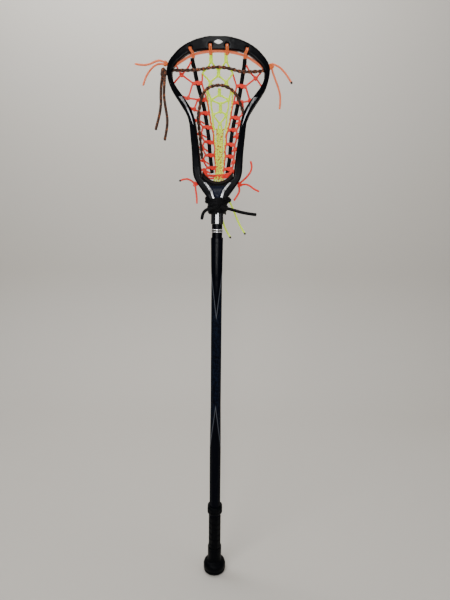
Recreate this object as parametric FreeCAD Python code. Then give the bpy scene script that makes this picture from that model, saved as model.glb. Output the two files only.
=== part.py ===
import FreeCAD, Part
import math
import os

# Lacrosse stick, millimetres. +Z runs up the shaft from the butt, the open face
# of the head looks along -Y, and the pocket hangs back towards +Y.
# Heights are drawn from a datum below the butt. Each sub-part is lowered as it is
# saved, so that the origin is the middle of the end cap's flat foot.

# ---- driving dimensions -------------------------------------------------------

# height of the end cap's foot above the datum
BUTT_FACE = 13.0

# shaft, an eight-sided tube: widths along X and Y, wall, and its two ends
SHAFT_WIDTH = 19.6
SHAFT_DEPTH = 22.0
SHAFT_WALL = 1.5
SHAFT_BOTTOM = 21.0
SHAFT_TOP = 830.0
SHAFT_CORNER = 5.2

# sleeves on the shaft: how far each stands out from the tube, and its ends
LOWER_GRIP_THICKNESS = 1.7
LOWER_GRIP_BOTTOM = 73.0
LOWER_GRIP_TAPER_FROM = 300.0
LOWER_GRIP_THIN_FROM = 401.0
LOWER_GRIP_TOP = 505.4
UPPER_GRIP_BOTTOM = 506.0
UPPER_GRIP_TAPER_TO = 660.0
UPPER_GRIP_TOP = 742.0
UPPER_GRIP_THICKNESS = 1.5
SLEEVE_THIN_EDGE = 0.6
BUTT_WRAP_THICKNESS = 1.15
BUTT_WRAP_TOP = 150.0
COLLAR_BOTTOM = 752.0
COLLAR_TOP = 760.0
COLLAR_THICKNESS = 0.9
COLLAR_GROOVE = 1.4

# rubber stop ring that slides on the lower grip
STOP_RING_BOTTOM = 154.5
STOP_RING_TOP = 172.0
STOP_RING_THICKNESS = 4.3
STOP_RING_CLEARANCE = 0.1

# end cap
CAP_KNOB_RADIUS = 24.0
CAP_KNOB_TOP = 38.0
CAP_FOOT_RADIUS = 18.5
CAP_NECK_RADIUS = 14.9
CAP_TOP = 72.0
CAP_FLOOR = 19.0
CAP_CLEARANCE = 0.1

# head: socket, throat and ball stop
SOCKET_BOTTOM = 767.0
SOCKET_WALL = 1.75
SOCKET_CLEARANCE = 0.05
THROAT_BOTTOM = 806.0
SOCKET_IN_THROAT = 4.0
STOP_PAD_THICKNESS = 4.0
STOP_PAD_FRONT = -13.5
STOP_PAD_BACK = 15.0
LIP_MIDDLE_Z = 842.0
LIP_SIDE_X = 29.0
LIP_SIDE_Z = 856.0

# right half of the head's outer outline, (X, Z), from the tip of the scoop
# round the widest place and down to the throat
HEAD_OUTER = [
    (0, 1087), (38, 1081.7), (64, 1070.7), (81, 1056.5), (89, 1045), (91.2, 1034),
    (90, 1023), (85.5, 1008), (77, 994), (66.8, 979), (58.6, 966), (52, 948),
    (49.5, 926), (47, 900), (45.8, 875), (42.5, 851), (32, 834), (21, 819),
    (14, 810), (11.6, THROAT_BOTTOM),
]
# right half of the opening that the pocket is strung in, from the scoop down
OPENING_TOP = [(0, 1067.5), (28, 1066.5), (50, 1062), (68, 1051), (78, 1041)]
OPENING_SIDE = [
    (78, 1041), (81.7, 1033), (81.5, 1024), (77, 1012), (68, 999), (57, 985),
    (47, 969), (41, 951), (38, 930), (34.5, 903), (32, 880), (30.5, 866),
    (LIP_SIDE_X, LIP_SIDE_Z),
]
# side view of the head, (Y, Z): front edge upwards, then back edge upwards
FRONT_EDGE = [
    (-12.8, THROAT_BOTTOM), (-14.5, 820), (-18, 842), (-19.5, 870), (-19, 905),
    (-16, 945), (-12.5, 985), (-11.5, 1015), (-13, 1040), (-17.5, 1064),
    (-25, 1086),
]
BACK_EDGE = [
    (12.8, THROAT_BOTTOM), (15, 820), (19.5, 842), (23, 870), (24, 905),
    (21.5, 945), (16, 985), (10.5, 1015), (4, 1040), (-6, 1064), (-18, 1086),
]
# how far tools reach past the head, along Y and X
HEAD_REACH = 60.0
HEAD_HALF_SPAN = 120.0
RAIL_DEPTH = 8.5
WINDOWS = [(861, 893), (901, 934), (942, 974), (982, 1006)]
WINDOW_SLANT = 5.0
WINDOW_CORNER = 3.5
LACING_HOLE_RADIUS = 1.7
LACING_HOLE_INSET = 4.0
LACING_HOLE_PITCH = 17.0
LACING_HOLE_FIRST = 866.0
LACING_HOLE_COUNT = 11

# raised metallic slivers on the front of the side walls and the throat
SLIVER_HEIGHT = 0.6
SLIVER_SIDE = [(70, 991), (63.5, 991), (54, 973), (48, 959), (43, 941), (50.5, 960.5), (59.5, 977.5)]
SLIVER_THROAT = [(25.5, 843.5), (21, 843), (10, 829.5), (4.6, 811.5), (7.4, 812), (13, 827)]

# head screw, put in from the back
SCREW_Z = 776.5
SCREW_SHANK_RADIUS = 1.75
SCREW_CLEARANCE = 0.25
SCREW_HEAD_EDGE = 0.8
SCREW_HEAD_RADIUS = 3.6
SCREW_HEAD_HEIGHT = 2.2
SCREW_REACH = 8.2
SCREW_SLOT_WIDTH = 1.0
SCREW_SLOT_DEPTH = 1.2

# throat lace, wound round the socket
LACE_BOTTOM = 785.0
LACE_TOP = 805.5
LACE_HALF_WIDTH = 19.4
LACE_HALF_DEPTH = 19.0
LACE_CORNER = 11.0
LACE_EDGE = 2.5
LACE_WIDTH = 6.0

# pocket
RIBBON_THICKNESS = 2.4
RUNNER_WIDTH = 6.4
STRING_DIAMETER = 2.6
SHOOTER_DIAMETER = 4.6
TAIL_DIAMETER = 3.6
SHOOTER_TAIL_DIAMETER = 5.0
MESH_TAIL_DIAMETER = 3.6
LACING_GAP = 1.2

# loops through the scoop: X of each and Z of the scoop's edge there, its hole,
# and how far the loop reaches above and below the edge and beyond both faces
SCOOP_LOOPS = [(-49, 1062.4), (-14, 1067.2), (15, 1067.2), (50, 1062)]
SCOOP_HOLE_RADIUS = 2.4
SCOOP_HOLE_ABOVE_EDGE = 7.0
LOOP_ABOVE_EDGE = 8.3
LOOP_BELOW_EDGE = 10.8
LOOP_CLEARANCE = 3.4

V = FreeCAD.Vector
UP = V(0, 0, 1)
BACKWARDS = V(0, 1, 0)


# ---- helpers ------------------------------------------------------------------

def save(name, shape):
    """Lower one sub-part from the datum and write it to its own file."""
    shape = shape.copy()
    shape.translate(V(0, 0, -BUTT_FACE))
    shape.exportStep("parts/" + name + ".step")
    print(name, "solids", len(shape.Solids), "valid", shape.isValid(), "mm3", round(shape.Volume))


def spline(points):
    """Smooth edge through the points."""
    curve = Part.BSplineCurve()
    curve.interpolate(points)
    return curve.toShape()


def at(profile, height):
    """The profile's Y at a height, read along straight lines between its points."""
    for (y0, z0), (y1, z1) in zip(profile, profile[1:]):
        if z0 <= height <= z1:
            return y0 + (y1 - y0) * (height - z0) / (z1 - z0)
    return profile[0][0] if height < profile[0][1] else profile[-1][0]


def front_at(height):
    return at(FRONT_EDGE, height)


def back_at(height):
    return at(BACK_EDGE, height)


def octagon(width, depth, corner, z):
    """Eight-sided outline round the shaft's axis at height z."""
    a, b = width / 2, depth / 2
    points = [
        V(a, b - corner, z), V(a - corner, b, z), V(corner - a, b, z), V(-a, b - corner, z),
        V(-a, corner - b, z), V(corner - a, -b, z), V(a - corner, -b, z), V(a, corner - b, z),
    ]
    return Part.makePolygon(points + points[:1])


def shaft_outline(offset, z):
    """The tube's outline, moved outwards by the offset on every side."""
    corner = SHAFT_CORNER + offset * (2 - math.sqrt(2))
    return octagon(SHAFT_WIDTH + 2 * offset, SHAFT_DEPTH + 2 * offset, corner, z)


def shaft_prism(offset, bottom, top):
    return Part.Face(shaft_outline(offset, bottom)).extrude(UP * (top - bottom))


def tube_on_shaft(inner, outer, bottom, top):
    return shaft_prism(outer, bottom, top).cut(shaft_prism(inner, bottom, top))


def across(points, half_width):
    """Prism along X from an outline of (Y, Z) points."""
    outline = Part.makePolygon([V(-half_width, y, z) for y, z in points + points[:1]])
    return Part.Face(outline).extrude(V(2 * half_width, 0, 0))


def through(outline, front, back):
    """Prism along Y from a closed wire drawn at Y = 0."""
    face = Part.Face(outline)
    face.translate(BACKWARDS * front)
    return face.extrude(BACKWARDS * (back - front))


def plan(points):
    """Closed straight-sided outline in the XZ plane."""
    return Part.makePolygon([V(x, 0, z) for x, z in points + points[:1]])


def mirrored(points):
    return [(-x, z) for x, z in points]


def route(points, turns_printed_as):
    """Straight runs through the points, joined by tangent arcs as large as the runs allow."""
    points = [V(*p) for p in points]
    edges = []
    radii = []
    start = points[0]
    for before, corner, after in zip(points, points[1:], points[2:]):
        inward = (before - corner).normalize()
        outward = (after - corner).normalize()
        shorter = min(before.distanceToPoint(corner), corner.distanceToPoint(after))
        turn = math.pi - inward.getAngle(outward)
        reach = 0.45 * shorter
        radius = reach / math.tan(turn / 2)
        radii.append(round(radius, 1))
        first = corner + inward * reach
        last = corner + outward * reach
        bisector = (inward + outward).normalize()
        to_middle = radius / math.cos(turn / 2) - radius
        edges.append(Part.LineSegment(start, first).toShape())
        edges.append(Part.Arc(first, corner + bisector * to_middle, last).toShape())
        start = last
    edges.append(Part.LineSegment(start, points[-1]).toShape())
    path = Part.Wire(edges)
    print(turns_printed_as, "length", round(path.Length, 1), "radii", radii)
    return path


def cord(points, diameter, name):
    """Round tube along a route, with its volume held against section times length."""
    path = route(points, name)
    direction = path.Edges[0].tangentAt(path.Edges[0].FirstParameter)
    ring = Part.Wire(Part.makeCircle(diameter / 2, V(*points[0]), direction))
    tube = path.makePipeShell([ring], True, True)
    expected = math.pi * diameter ** 2 / 4 * path.Length
    print("   volume over section times length", round(tube.Volume / expected, 3))
    return tube


def ribbon(rows, thickness):
    """Loft through rows of (x_left, y_left, x_right, y_right, z), with its thickness along Y."""
    sections = []
    for x0, y0, x1, y1, z in rows:
        corners = [V(x0, y0, z), V(x1, y1, z), V(x1, y1 + thickness, z), V(x0, y0 + thickness, z)]
        sections.append(Part.makePolygon(corners + corners[:1]))
    return Part.makeLoft(sections, True, False)


# ---- shaft --------------------------------------------------------------------

def make_shaft():
    tube = tube_on_shaft(-SHAFT_WALL, 0, SHAFT_BOTTOM, SHAFT_TOP)
    pilot = Part.makeCylinder(SCREW_SHANK_RADIUS, SHAFT_DEPTH, V(0, 0, SCREW_Z), BACKWARDS)
    save("shaft_tube", tube.cut(pilot))


def make_upper_grip():
    body = Part.makeLoft(
        [shaft_outline(SLEEVE_THIN_EDGE, UPPER_GRIP_BOTTOM),
         shaft_outline(SLEEVE_THIN_EDGE, UPPER_GRIP_TAPER_TO),
         shaft_outline(UPPER_GRIP_THICKNESS, UPPER_GRIP_TOP)], True, True)
    save("upper_grip", body.cut(shaft_prism(0, UPPER_GRIP_BOTTOM - 1, UPPER_GRIP_TOP + 1)))


def make_lower_grip():
    body = Part.makeLoft(
        [shaft_outline(LOWER_GRIP_THICKNESS, LOWER_GRIP_BOTTOM),
         shaft_outline(LOWER_GRIP_THICKNESS, LOWER_GRIP_TAPER_FROM),
         shaft_outline(SLEEVE_THIN_EDGE, LOWER_GRIP_THIN_FROM),
         shaft_outline(SLEEVE_THIN_EDGE, LOWER_GRIP_TOP)], True, True)
    save("lower_grip", body.cut(shaft_prism(0, LOWER_GRIP_BOTTOM - 1, LOWER_GRIP_TOP + 1)))


def make_butt_wrap():
    outer = LOWER_GRIP_THICKNESS + BUTT_WRAP_THICKNESS
    save("butt_wrap", tube_on_shaft(LOWER_GRIP_THICKNESS, outer, LOWER_GRIP_BOTTOM, BUTT_WRAP_TOP))


def make_collar():
    ring = tube_on_shaft(0, COLLAR_THICKNESS, COLLAR_BOTTOM, COLLAR_TOP)
    middle = (COLLAR_BOTTOM + COLLAR_TOP) / 2
    groove = tube_on_shaft(
        COLLAR_THICKNESS / 2, 2 * COLLAR_THICKNESS,
        middle - COLLAR_GROOVE / 2, middle + COLLAR_GROOVE / 2)
    save("shaft_collar", ring.cut(groove))


def make_stop_ring():
    bore = LOWER_GRIP_THICKNESS + STOP_RING_CLEARANCE
    outer = shaft_prism(bore + STOP_RING_THICKNESS, STOP_RING_BOTTOM, STOP_RING_TOP)
    outer = outer.makeFillet(STOP_RING_THICKNESS * 0.9, rim_edges(outer))
    hole = shaft_prism(bore, STOP_RING_BOTTOM - 1, STOP_RING_TOP + 1)
    save("stop_ring", outer.cut(hole))


def rim_edges(prism):
    """The edges of a prism's two ends."""
    box = prism.BoundBox
    ends = []
    for edge in prism.Edges:
        heights = [vertex.Z for vertex in edge.Vertexes]
        if max(heights) - min(heights) < 1e-6 and (
                abs(heights[0] - box.ZMin) < 1e-6 or abs(heights[0] - box.ZMax) < 1e-6):
            ends.append(edge)
    return ends


def make_end_cap():
    foot = CAP_KNOB_RADIUS - CAP_FOOT_RADIUS
    shoulder = CAP_KNOB_RADIUS - CAP_NECK_RADIUS
    side_low = BUTT_FACE + foot
    side_high = CAP_KNOB_TOP - shoulder
    sharp = math.sqrt(0.5)
    round_foot = Part.Arc(
        V(CAP_FOOT_RADIUS, 0, BUTT_FACE),
        V(CAP_FOOT_RADIUS + foot * sharp, 0, BUTT_FACE + foot * (1 - sharp)),
        V(CAP_KNOB_RADIUS, 0, side_low)).toShape()
    side = Part.LineSegment(
        V(CAP_KNOB_RADIUS, 0, side_low), V(CAP_KNOB_RADIUS, 0, side_high)).toShape()
    round_shoulder = Part.Arc(
        V(CAP_KNOB_RADIUS, 0, side_high),
        V(CAP_NECK_RADIUS + shoulder * sharp, 0, side_high + shoulder * sharp),
        V(CAP_NECK_RADIUS, 0, CAP_KNOB_TOP)).toShape()
    rest = Part.makePolygon([
        V(CAP_NECK_RADIUS, 0, CAP_KNOB_TOP), V(CAP_NECK_RADIUS, 0, CAP_TOP),
        V(0, 0, CAP_TOP), V(0, 0, BUTT_FACE), V(CAP_FOOT_RADIUS, 0, BUTT_FACE)])
    profile = Part.Wire([round_foot, side, round_shoulder] + rest.Edges)
    body = Part.Face(profile).revolve(V(0, 0, 0), UP, 360)
    hole = shaft_prism(CAP_CLEARANCE, CAP_FLOOR, CAP_TOP + 1)
    save("end_cap", body.cut(hole))


# ---- head ---------------------------------------------------------------------

def head_outline():
    """Outer outline of the head above the socket, in the XZ plane."""
    right = HEAD_OUTER[1:]
    points = [(-x, z) for x, z in reversed(right)] + HEAD_OUTER[:1] + right
    edge = spline([V(x, 0, z) for x, z in points])
    base = Part.LineSegment(V(points[-1][0], 0, THROAT_BOTTOM), V(points[0][0], 0, THROAT_BOTTOM))
    return Part.Wire([edge, base.toShape()])


def opening_outline(drop):
    """Outline of the strung opening. Its lower lip lies lower by the drop."""
    top = [(-x, z) for x, z in reversed(OPENING_TOP[1:])] + OPENING_TOP
    right = [V(x, 0, z) for x, z in OPENING_SIDE[:-1]] + [V(LIP_SIDE_X, 0, LIP_SIDE_Z - drop)]
    left = [V(-p.x, 0, p.z) for p in right]
    lip = Part.Arc(right[-1], V(0, 0, LIP_MIDDLE_Z - drop), left[-1]).toShape()
    return Part.Wire([spline([V(x, 0, z) for x, z in top]), spline(right), lip, spline(left)])


def side_prism(front, back, half_width):
    """Prism along X between two smooth (Y, Z) edges."""
    front_edge = spline([V(-half_width, y, z) for y, z in front])
    back_edge = spline([V(-half_width, y, z) for y, z in back])
    low = Part.LineSegment(front_edge.Vertexes[0].Point, back_edge.Vertexes[0].Point).toShape()
    high = Part.LineSegment(front_edge.Vertexes[-1].Point, back_edge.Vertexes[-1].Point).toShape()
    return Part.Face(Part.Wire([front_edge, high, back_edge, low])).extrude(V(2 * half_width, 0, 0))


def window(bottom, top):
    """Slanted four-sided opening through both side walls, with round corners."""
    corners = [
        (front_at(bottom) + RAIL_DEPTH, bottom + WINDOW_SLANT), (back_at(bottom) - RAIL_DEPTH, bottom),
        (back_at(top) - RAIL_DEPTH, top - WINDOW_SLANT), (front_at(top) + RAIL_DEPTH, top),
    ]
    prism = across(corners, HEAD_HALF_SPAN)
    long_edges = [e for e in prism.Edges if abs(e.Vertexes[0].X - e.Vertexes[1].X) > 1]
    return prism.makeFillet(WINDOW_CORNER, long_edges)


def make_head_frame():
    outer = through(head_outline(), -HEAD_REACH, HEAD_REACH)
    body = outer.common(side_prism(FRONT_EDGE, BACK_EDGE, HEAD_HALF_SPAN))
    body = body.cut(through(opening_outline(STOP_PAD_THICKNESS), -HEAD_REACH, HEAD_REACH))
    socket_offset = SOCKET_CLEARANCE + SOCKET_WALL
    socket = shaft_prism(socket_offset, SOCKET_BOTTOM, THROAT_BOTTOM + SOCKET_IN_THROAT)
    body = body.fuse(socket).removeSplitter()
    body = body.cut(shaft_prism(SOCKET_CLEARANCE, SOCKET_BOTTOM - 1, SHAFT_TOP + 2))
    for bottom, top in WINDOWS:
        body = body.cut(window(bottom, top))
    for index in range(LACING_HOLE_COUNT):
        z = LACING_HOLE_FIRST + index * LACING_HOLE_PITCH
        y = back_at(z) - LACING_HOLE_INSET
        body = body.cut(Part.makeCylinder(
            LACING_HOLE_RADIUS, 2 * HEAD_HALF_SPAN, V(-HEAD_HALF_SPAN, y, z), V(1, 0, 0)))
    for x, edge in SCOOP_LOOPS:
        start = V(x, -HEAD_REACH, edge + SCOOP_HOLE_ABOVE_EDGE)
        body = body.cut(Part.makeCylinder(SCOOP_HOLE_RADIUS, 2 * HEAD_REACH, start, BACKWARDS))
    screw_hole = SCREW_SHANK_RADIUS + SCREW_CLEARANCE
    body = body.cut(Part.makeCylinder(screw_hole, HEAD_REACH, V(0, 0, SCREW_Z), BACKWARDS))
    save("head_frame", body)


def make_ball_stop_pad():
    """Foam strip on the throat's inner face."""
    low = opening_outline(STOP_PAD_THICKNESS).Edges[2]
    high = opening_outline(0).Edges[2]
    left = Part.LineSegment(low.Vertexes[0].Point, high.Vertexes[0].Point).toShape()
    right = Part.LineSegment(low.Vertexes[-1].Point, high.Vertexes[-1].Point).toShape()
    save("ball_stop_pad", through(Part.Wire([low, right, high, left]), STOP_PAD_FRONT, STOP_PAD_BACK))


def make_slivers():
    skin_front = [(y - SLIVER_HEIGHT, z) for y, z in FRONT_EDGE]
    skin = side_prism(skin_front, FRONT_EDGE, HEAD_HALF_SPAN)
    for word, points in (("side", SLIVER_SIDE), ("throat", SLIVER_THROAT)):
        for hand, outline in (("right", points), ("left", mirrored(points))):
            piece = through(plan(outline), -HEAD_REACH, HEAD_REACH).common(skin)
            save(word + "_accent_" + hand, piece)


def make_head_screw():
    face = SHAFT_DEPTH / 2 + SOCKET_CLEARANCE + SOCKET_WALL
    shank = Part.makeCylinder(SCREW_SHANK_RADIUS, face - SCREW_REACH, V(0, SCREW_REACH, SCREW_Z), BACKWARDS)
    head = Part.makeCylinder(SCREW_HEAD_RADIUS, SCREW_HEAD_HEIGHT, V(0, face, SCREW_Z), BACKWARDS)
    top_edge = [e for e in head.Edges if e.BoundBox.YMin > face + SCREW_HEAD_HEIGHT - 0.01]
    head = head.makeFillet(SCREW_HEAD_EDGE, top_edge)
    slot_back = face + SCREW_HEAD_HEIGHT
    slot = Part.makeBox(
        2 * SCREW_HEAD_RADIUS, SCREW_SLOT_DEPTH, SCREW_SLOT_WIDTH,
        V(-SCREW_HEAD_RADIUS, slot_back - SCREW_SLOT_DEPTH, SCREW_Z - SCREW_SLOT_WIDTH / 2))
    save("head_screw", shank.fuse(head).cut(slot))


def make_throat_lace():
    """The wound lace as one sleeve round the socket."""
    outer = octagon(2 * LACE_HALF_WIDTH, 2 * LACE_HALF_DEPTH, LACE_CORNER, LACE_BOTTOM)
    body = Part.Face(outer).extrude(UP * (LACE_TOP - LACE_BOTTOM))
    body = body.makeFillet(LACE_EDGE, rim_edges(body))
    inner = SOCKET_CLEARANCE + SOCKET_WALL
    save("throat_lace", body.cut(shaft_prism(inner, LACE_BOTTOM - 1, LACE_TOP + 1)))


# ---- pocket -------------------------------------------------------------------

# centre line of each runner's front face, (X, Y, Z)
RUNNER_LEFT = [
    (-46, -4, 1050), (-43, 1, 1042), (-39, 9, 1022), (-34, 15, 1005), (-27.5, 21, 986),
    (-24, 27, 966), (-19, 33, 937), (-17, 36, 916), (-15.5, 36, 897), (-13, 32, 880),
    (-11, 24, 863),
]
RUNNER_RIGHT = [
    (46.5, -4, 1050), (45.5, 1, 1042), (42, 9, 1022), (39.5, 15, 1003), (36, 21, 985),
    (32.5, 27, 969), (27, 33, 944), (24, 36, 920), (23, 36, 899), (21, 32, 881),
    (18, 24, 863),
]
# centre mesh: left X, right X, Y of its front face, Z
MESH_ROWS = [
    (-17, 17, -3.5, 1053), (-24, 25, 1, 1044), (-26, 27, 8, 1028), (-18, 19, 13, 1010),
    (-14, 19, 19, 992), (-12, 17, 25, 970), (-9, 14, 31, 948), (-5, 11.5, 35, 922),
    (-4, 10.5, 36.5, 897), (-3, 9.5, 32, 880), (-2.5, 9, 24, 863),
]
# side lacing, outer edge: X and Y at the wall, at the heights of the runner's points
WALL_LEFT = [
    (-61, -3), (-68, 0), (-72, 4), (-65, 7), (-53.5, 10.5),
    (-42, 13), (-36, 15), (-33.5, 15.5), (-31.5, 15.5), (-29.5, 15.5), (-27.5, 15),
]
WALL_RIGHT = [
    (61, -3), (68, 0), (72, 4), (63, 7), (53, 10.5),
    (44, 13), (37, 15), (34, 15.5), (31.5, 15.5), (29.5, 15.5), (27.5, 15),
]
SHOOTER_UPPER = [
    (-79.2, -4, 1036), (-63, -3.2, 1036.6), (-46, -2, 1037), (-29, -2.2, 1039), (-12, -2, 1042.5),
    (5, -2.2, 1043), (22, -2, 1040.5), (40, -2, 1035.2), (60, -3, 1035.4), (79.2, -4, 1036.5),
]
SHOOTER_LOWER = [
    (-29.5, 8, 890), (-32, 8.6, 916), (-35, 8.8, 942), (-37.5, 10.5, 960), (-35.5, 12.5, 972),
    (-33, 11.8, 985), (-29.5, 10, 997.5), (-23, 7.5, 1008), (-11.5, 6.3, 1013.5), (3, 5.8, 1015.5),
    (17, 6.5, 1012.5), (29, 8, 1004.5), (36, 9.4, 994.5), (40, 10.6, 985.5), (43, 10.8, 977.5),
    (44.6, 10.2, 970.5),
]
TOP_STRING = [
    (-73, -6, 1041), (-62, -7.8, 1050), (-48, -9.8, 1057.6), (-32, -11.2, 1062.2), (-16, -12, 1064.3),
    (0, -12.3, 1064.9), (16, -12, 1064.3), (32, -11.2, 1062.2), (48, -9.8, 1057.6),
    (62, -7.8, 1050), (73, -6, 1041),
]
BOTTOM_STRING = [(-26.5, 12, 857.5), (-14, 19, 856.3), (0, 22, 856), (14, 19, 856.3), (26.5, 12, 857.5)]


def runner(points):
    half = RUNNER_WIDTH / 2
    return ribbon([(x - half, y, x + half, y, z) for x, y, z in points], RIBBON_THICKNESS)


def side_lacing(runner_points, wall_points, side):
    """Soft web between a runner and its side wall."""
    clear = RUNNER_WIDTH / 2 + LACING_GAP
    rows = []
    for (x, y, z), (wall_x, wall_y) in zip(runner_points, wall_points):
        rows.append((wall_x, wall_y, x + side * clear, y, z))
    return ribbon(rows, RIBBON_THICKNESS)


def make_pocket():
    save("runner_left", runner(RUNNER_LEFT))
    save("runner_right", runner(RUNNER_RIGHT))
    save("centre_mesh", ribbon([(a, y, b, y, z) for a, b, y, z in MESH_ROWS], RIBBON_THICKNESS))
    save("side_lacing_left", side_lacing(RUNNER_LEFT, WALL_LEFT, -1))
    save("side_lacing_right", side_lacing(RUNNER_RIGHT, WALL_RIGHT, 1))
    save("shooting_string_upper", cord(SHOOTER_UPPER, SHOOTER_DIAMETER, "shooting_string_upper"))
    save("shooting_string_lower", cord(SHOOTER_LOWER, SHOOTER_DIAMETER, "shooting_string_lower"))
    save("top_string", cord(TOP_STRING, STRING_DIAMETER, "top_string"))
    save("bottom_string", cord(BOTTOM_STRING, STRING_DIAMETER, "bottom_string"))


def make_scoop_loops():
    """Loops through the scoop's holes and round its lower edge."""
    loops = []
    for x, edge in SCOOP_LOOPS:
        top = edge + LOOP_ABOVE_EDGE
        bottom = edge - LOOP_BELOW_EDGE
        front = front_at(top) - LOOP_CLEARANCE
        back = back_at(edge) + LOOP_CLEARANCE
        bar = STRING_DIAMETER
        outer = Part.makeBox(bar, back - front, top - bottom, V(x - bar / 2, front, bottom))
        inner = Part.makeBox(
            bar, back - front - 2 * bar, top - bottom - 2 * bar,
            V(x - bar / 2, front + bar, bottom + bar))
        loops.append(outer.cut(inner))
    save("scoop_loops", Part.makeCompound(loops))


# ---- knots and tails -----------------------------------------------------------

KNOTS = {
    "shooting_knot": (-95.6, -3, 1034.5, 4.0),
    "top_knot_left": (-92.9, -6, 1046.5, 3.2),
    "top_knot_right": (92.9, -6, 1046.5, 3.2),
    "lower_knot_left": (-41.4, 0, 840.6, 3.4),
    "lower_knot_right": (41.4, 0, 840.6, 3.4),
    "mesh_knot": (5, 23.6, 828, 4.5),
}
TAILS = {
    "top_tail_left_upper": (TAIL_DIAMETER, [
        (-94.3, -7.6, 1048), (-102, -9.5, 1051), (-110, -11, 1048.5), (-120, -13, 1043),
        (-132, -14.5, 1040.5), (-145, -15, 1042.5)]),
    "top_tail_left_lower": (TAIL_DIAMETER, [
        (-94.5, -4.9, 1045), (-104, -4, 1047.3), (-114, -3, 1043.5), (-123, -3, 1034.5),
        (-130, -3.5, 1023.5), (-134, -4.5, 1011)]),
    "top_tail_right_upper": (TAIL_DIAMETER, [
        (94.5, -7.4, 1047.6), (104, -9.5, 1044.5), (113, -11, 1037), (122, -12.5, 1026.5),
        (130, -13, 1014.5)]),
    "top_tail_right_lower": (TAIL_DIAMETER, [
        (93.5, -5.5, 1044.5), (96.5, -4.5, 1034), (102.5, -3.5, 1021), (108.5, -3, 1007),
        (112.5, -3, 992), (111, -3.5, 974)]),
    "shooting_tail_long": (SHOOTER_TAIL_DIAMETER, [
        (-94.8, -5.5, 1032), (-95.5, -8.5, 1014), (-97, -9.5, 992), (-93.5, -9, 970),
        (-90.5, -8, 951), (-93, -7, 933), (-96.5, -6.5, 918)]),
    "shooting_tail_short": (SHOOTER_TAIL_DIAMETER, [
        (-99, -1.2, 1032.8), (-101.8, -1.4, 1017), (-103.5, -1.5, 998), (-103, -1, 979),
        (-107, -0.5, 958), (-113.5, 0, 937)]),
    "lower_tail_left_side": (TAIL_DIAMETER, [
        (-42.5, 1, 842), (-47.5, -2, 846), (-54, -4.5, 849.5), (-62, -5, 849.5), (-70, -5, 846)]),
    "lower_tail_left_down": (TAIL_DIAMETER, [
        (-41, -1.5, 838.6), (-40.5, -5, 829), (-38, -6.5, 818), (-38, -7, 806)]),
    "lower_tail_right_hook": (TAIL_DIAMETER, [
        (41, -1.5, 842.5), (47.5, -2, 848), (55, -2.5, 855), (61, -3, 863), (64, -3, 873),
        (61, -3.5, 882)]),
    "lower_tail_right_side": (TAIL_DIAMETER, [
        (43.5, 1.8, 840), (51, -0.5, 842), (60, -4, 839), (68, -5, 832.5), (77, -5.5, 828.5)]),
    "lower_tail_right_down": (TAIL_DIAMETER, [
        (40, 0.5, 838.5), (42, -3.5, 829.5), (37.5, -8, 821), (31.5, -9.5, 812)]),
    "mesh_tail_long": (MESH_TAIL_DIAMETER, [
        (7.5, 24.5, 826.7), (16, 25.5, 820), (24, 25, 809), (31, 22, 794),
        (38, 18, 777), (45, 13.5, 762), (54, 10, 749)]),
    "mesh_tail_short": (MESH_TAIL_DIAMETER, [
        (3.8, 25.5, 826), (4.6, 26.5, 814), (5.5, 26, 799), (8, 24.5, 783),
        (12, 21, 767), (18, 17.5, 753), (26, 14.5, 741)]),
    "throat_lace_tail_left": (LACE_WIDTH, [
        (-1, -19.3, 797), (-13, -19.5, 797), (-22.5, -18.8, 792.5), (-27, -18.5, 785.5),
        (-28.2, -18.5, 777.5)]),
    "throat_lace_tail_right": (LACE_WIDTH, [
        (8, -17.5, 798.5), (22.4, -18.5, 796.2), (43, -18.8, 790.2), (60, -19, 787.2), (71.5, -19, 786)]),
}


def make_knots():
    for name, (x, y, z, radius) in KNOTS.items():
        save(name, Part.makeSphere(radius, V(x, y, z)))


def make_tails():
    for name, (diameter, points) in TAILS.items():
        save(name, cord(points, diameter, name))


os.makedirs("parts", exist_ok=True)
make_shaft()
make_upper_grip()
make_lower_grip()
make_butt_wrap()
make_collar()
make_stop_ring()
make_end_cap()
make_head_frame()
make_ball_stop_pad()
make_slivers()
make_head_screw()
make_throat_lace()
make_pocket()
make_scoop_loops()
make_knots()
make_tails()
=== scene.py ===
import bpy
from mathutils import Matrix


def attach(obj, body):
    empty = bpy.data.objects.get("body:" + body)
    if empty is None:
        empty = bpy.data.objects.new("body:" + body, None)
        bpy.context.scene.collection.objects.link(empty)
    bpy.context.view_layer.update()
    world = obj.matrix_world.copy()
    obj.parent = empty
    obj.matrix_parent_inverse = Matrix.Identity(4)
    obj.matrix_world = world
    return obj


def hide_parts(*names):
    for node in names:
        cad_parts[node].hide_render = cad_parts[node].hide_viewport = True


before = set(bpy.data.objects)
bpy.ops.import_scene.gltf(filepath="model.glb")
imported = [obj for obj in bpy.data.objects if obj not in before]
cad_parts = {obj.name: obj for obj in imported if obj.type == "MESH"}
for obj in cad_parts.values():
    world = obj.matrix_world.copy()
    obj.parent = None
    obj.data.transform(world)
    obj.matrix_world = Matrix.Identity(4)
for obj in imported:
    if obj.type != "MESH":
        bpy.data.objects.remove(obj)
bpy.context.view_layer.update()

import math
import random

import bmesh
import bpy
import numpy as np
from bpy.props import FloatProperty, FloatVectorProperty, IntProperty, PointerProperty
from mathutils import Matrix, Vector

bl_info = {
    "name": "Lacrosse stick",
    "version": (1, 0, 0),
    "blender": (4, 5, 0),
    "location": "3D View > Sidebar > Lacrosse",
    "description": "Builds the head, strung pocket, shaft and grips of a lacrosse stick",
    "category": "Add Mesh",
}

MM = 0.001
TURN = 2 * math.pi
STICK = "stick"
# heights below are drawn from a datum this far under the butt, in millimetres
BUTT_FACE = 13.0


def metres(place):
    """A place in millimetres above the datum, in metres above the butt."""
    return Vector((place[0], place[1], place[2] - BUTT_FACE)) * MM


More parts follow.
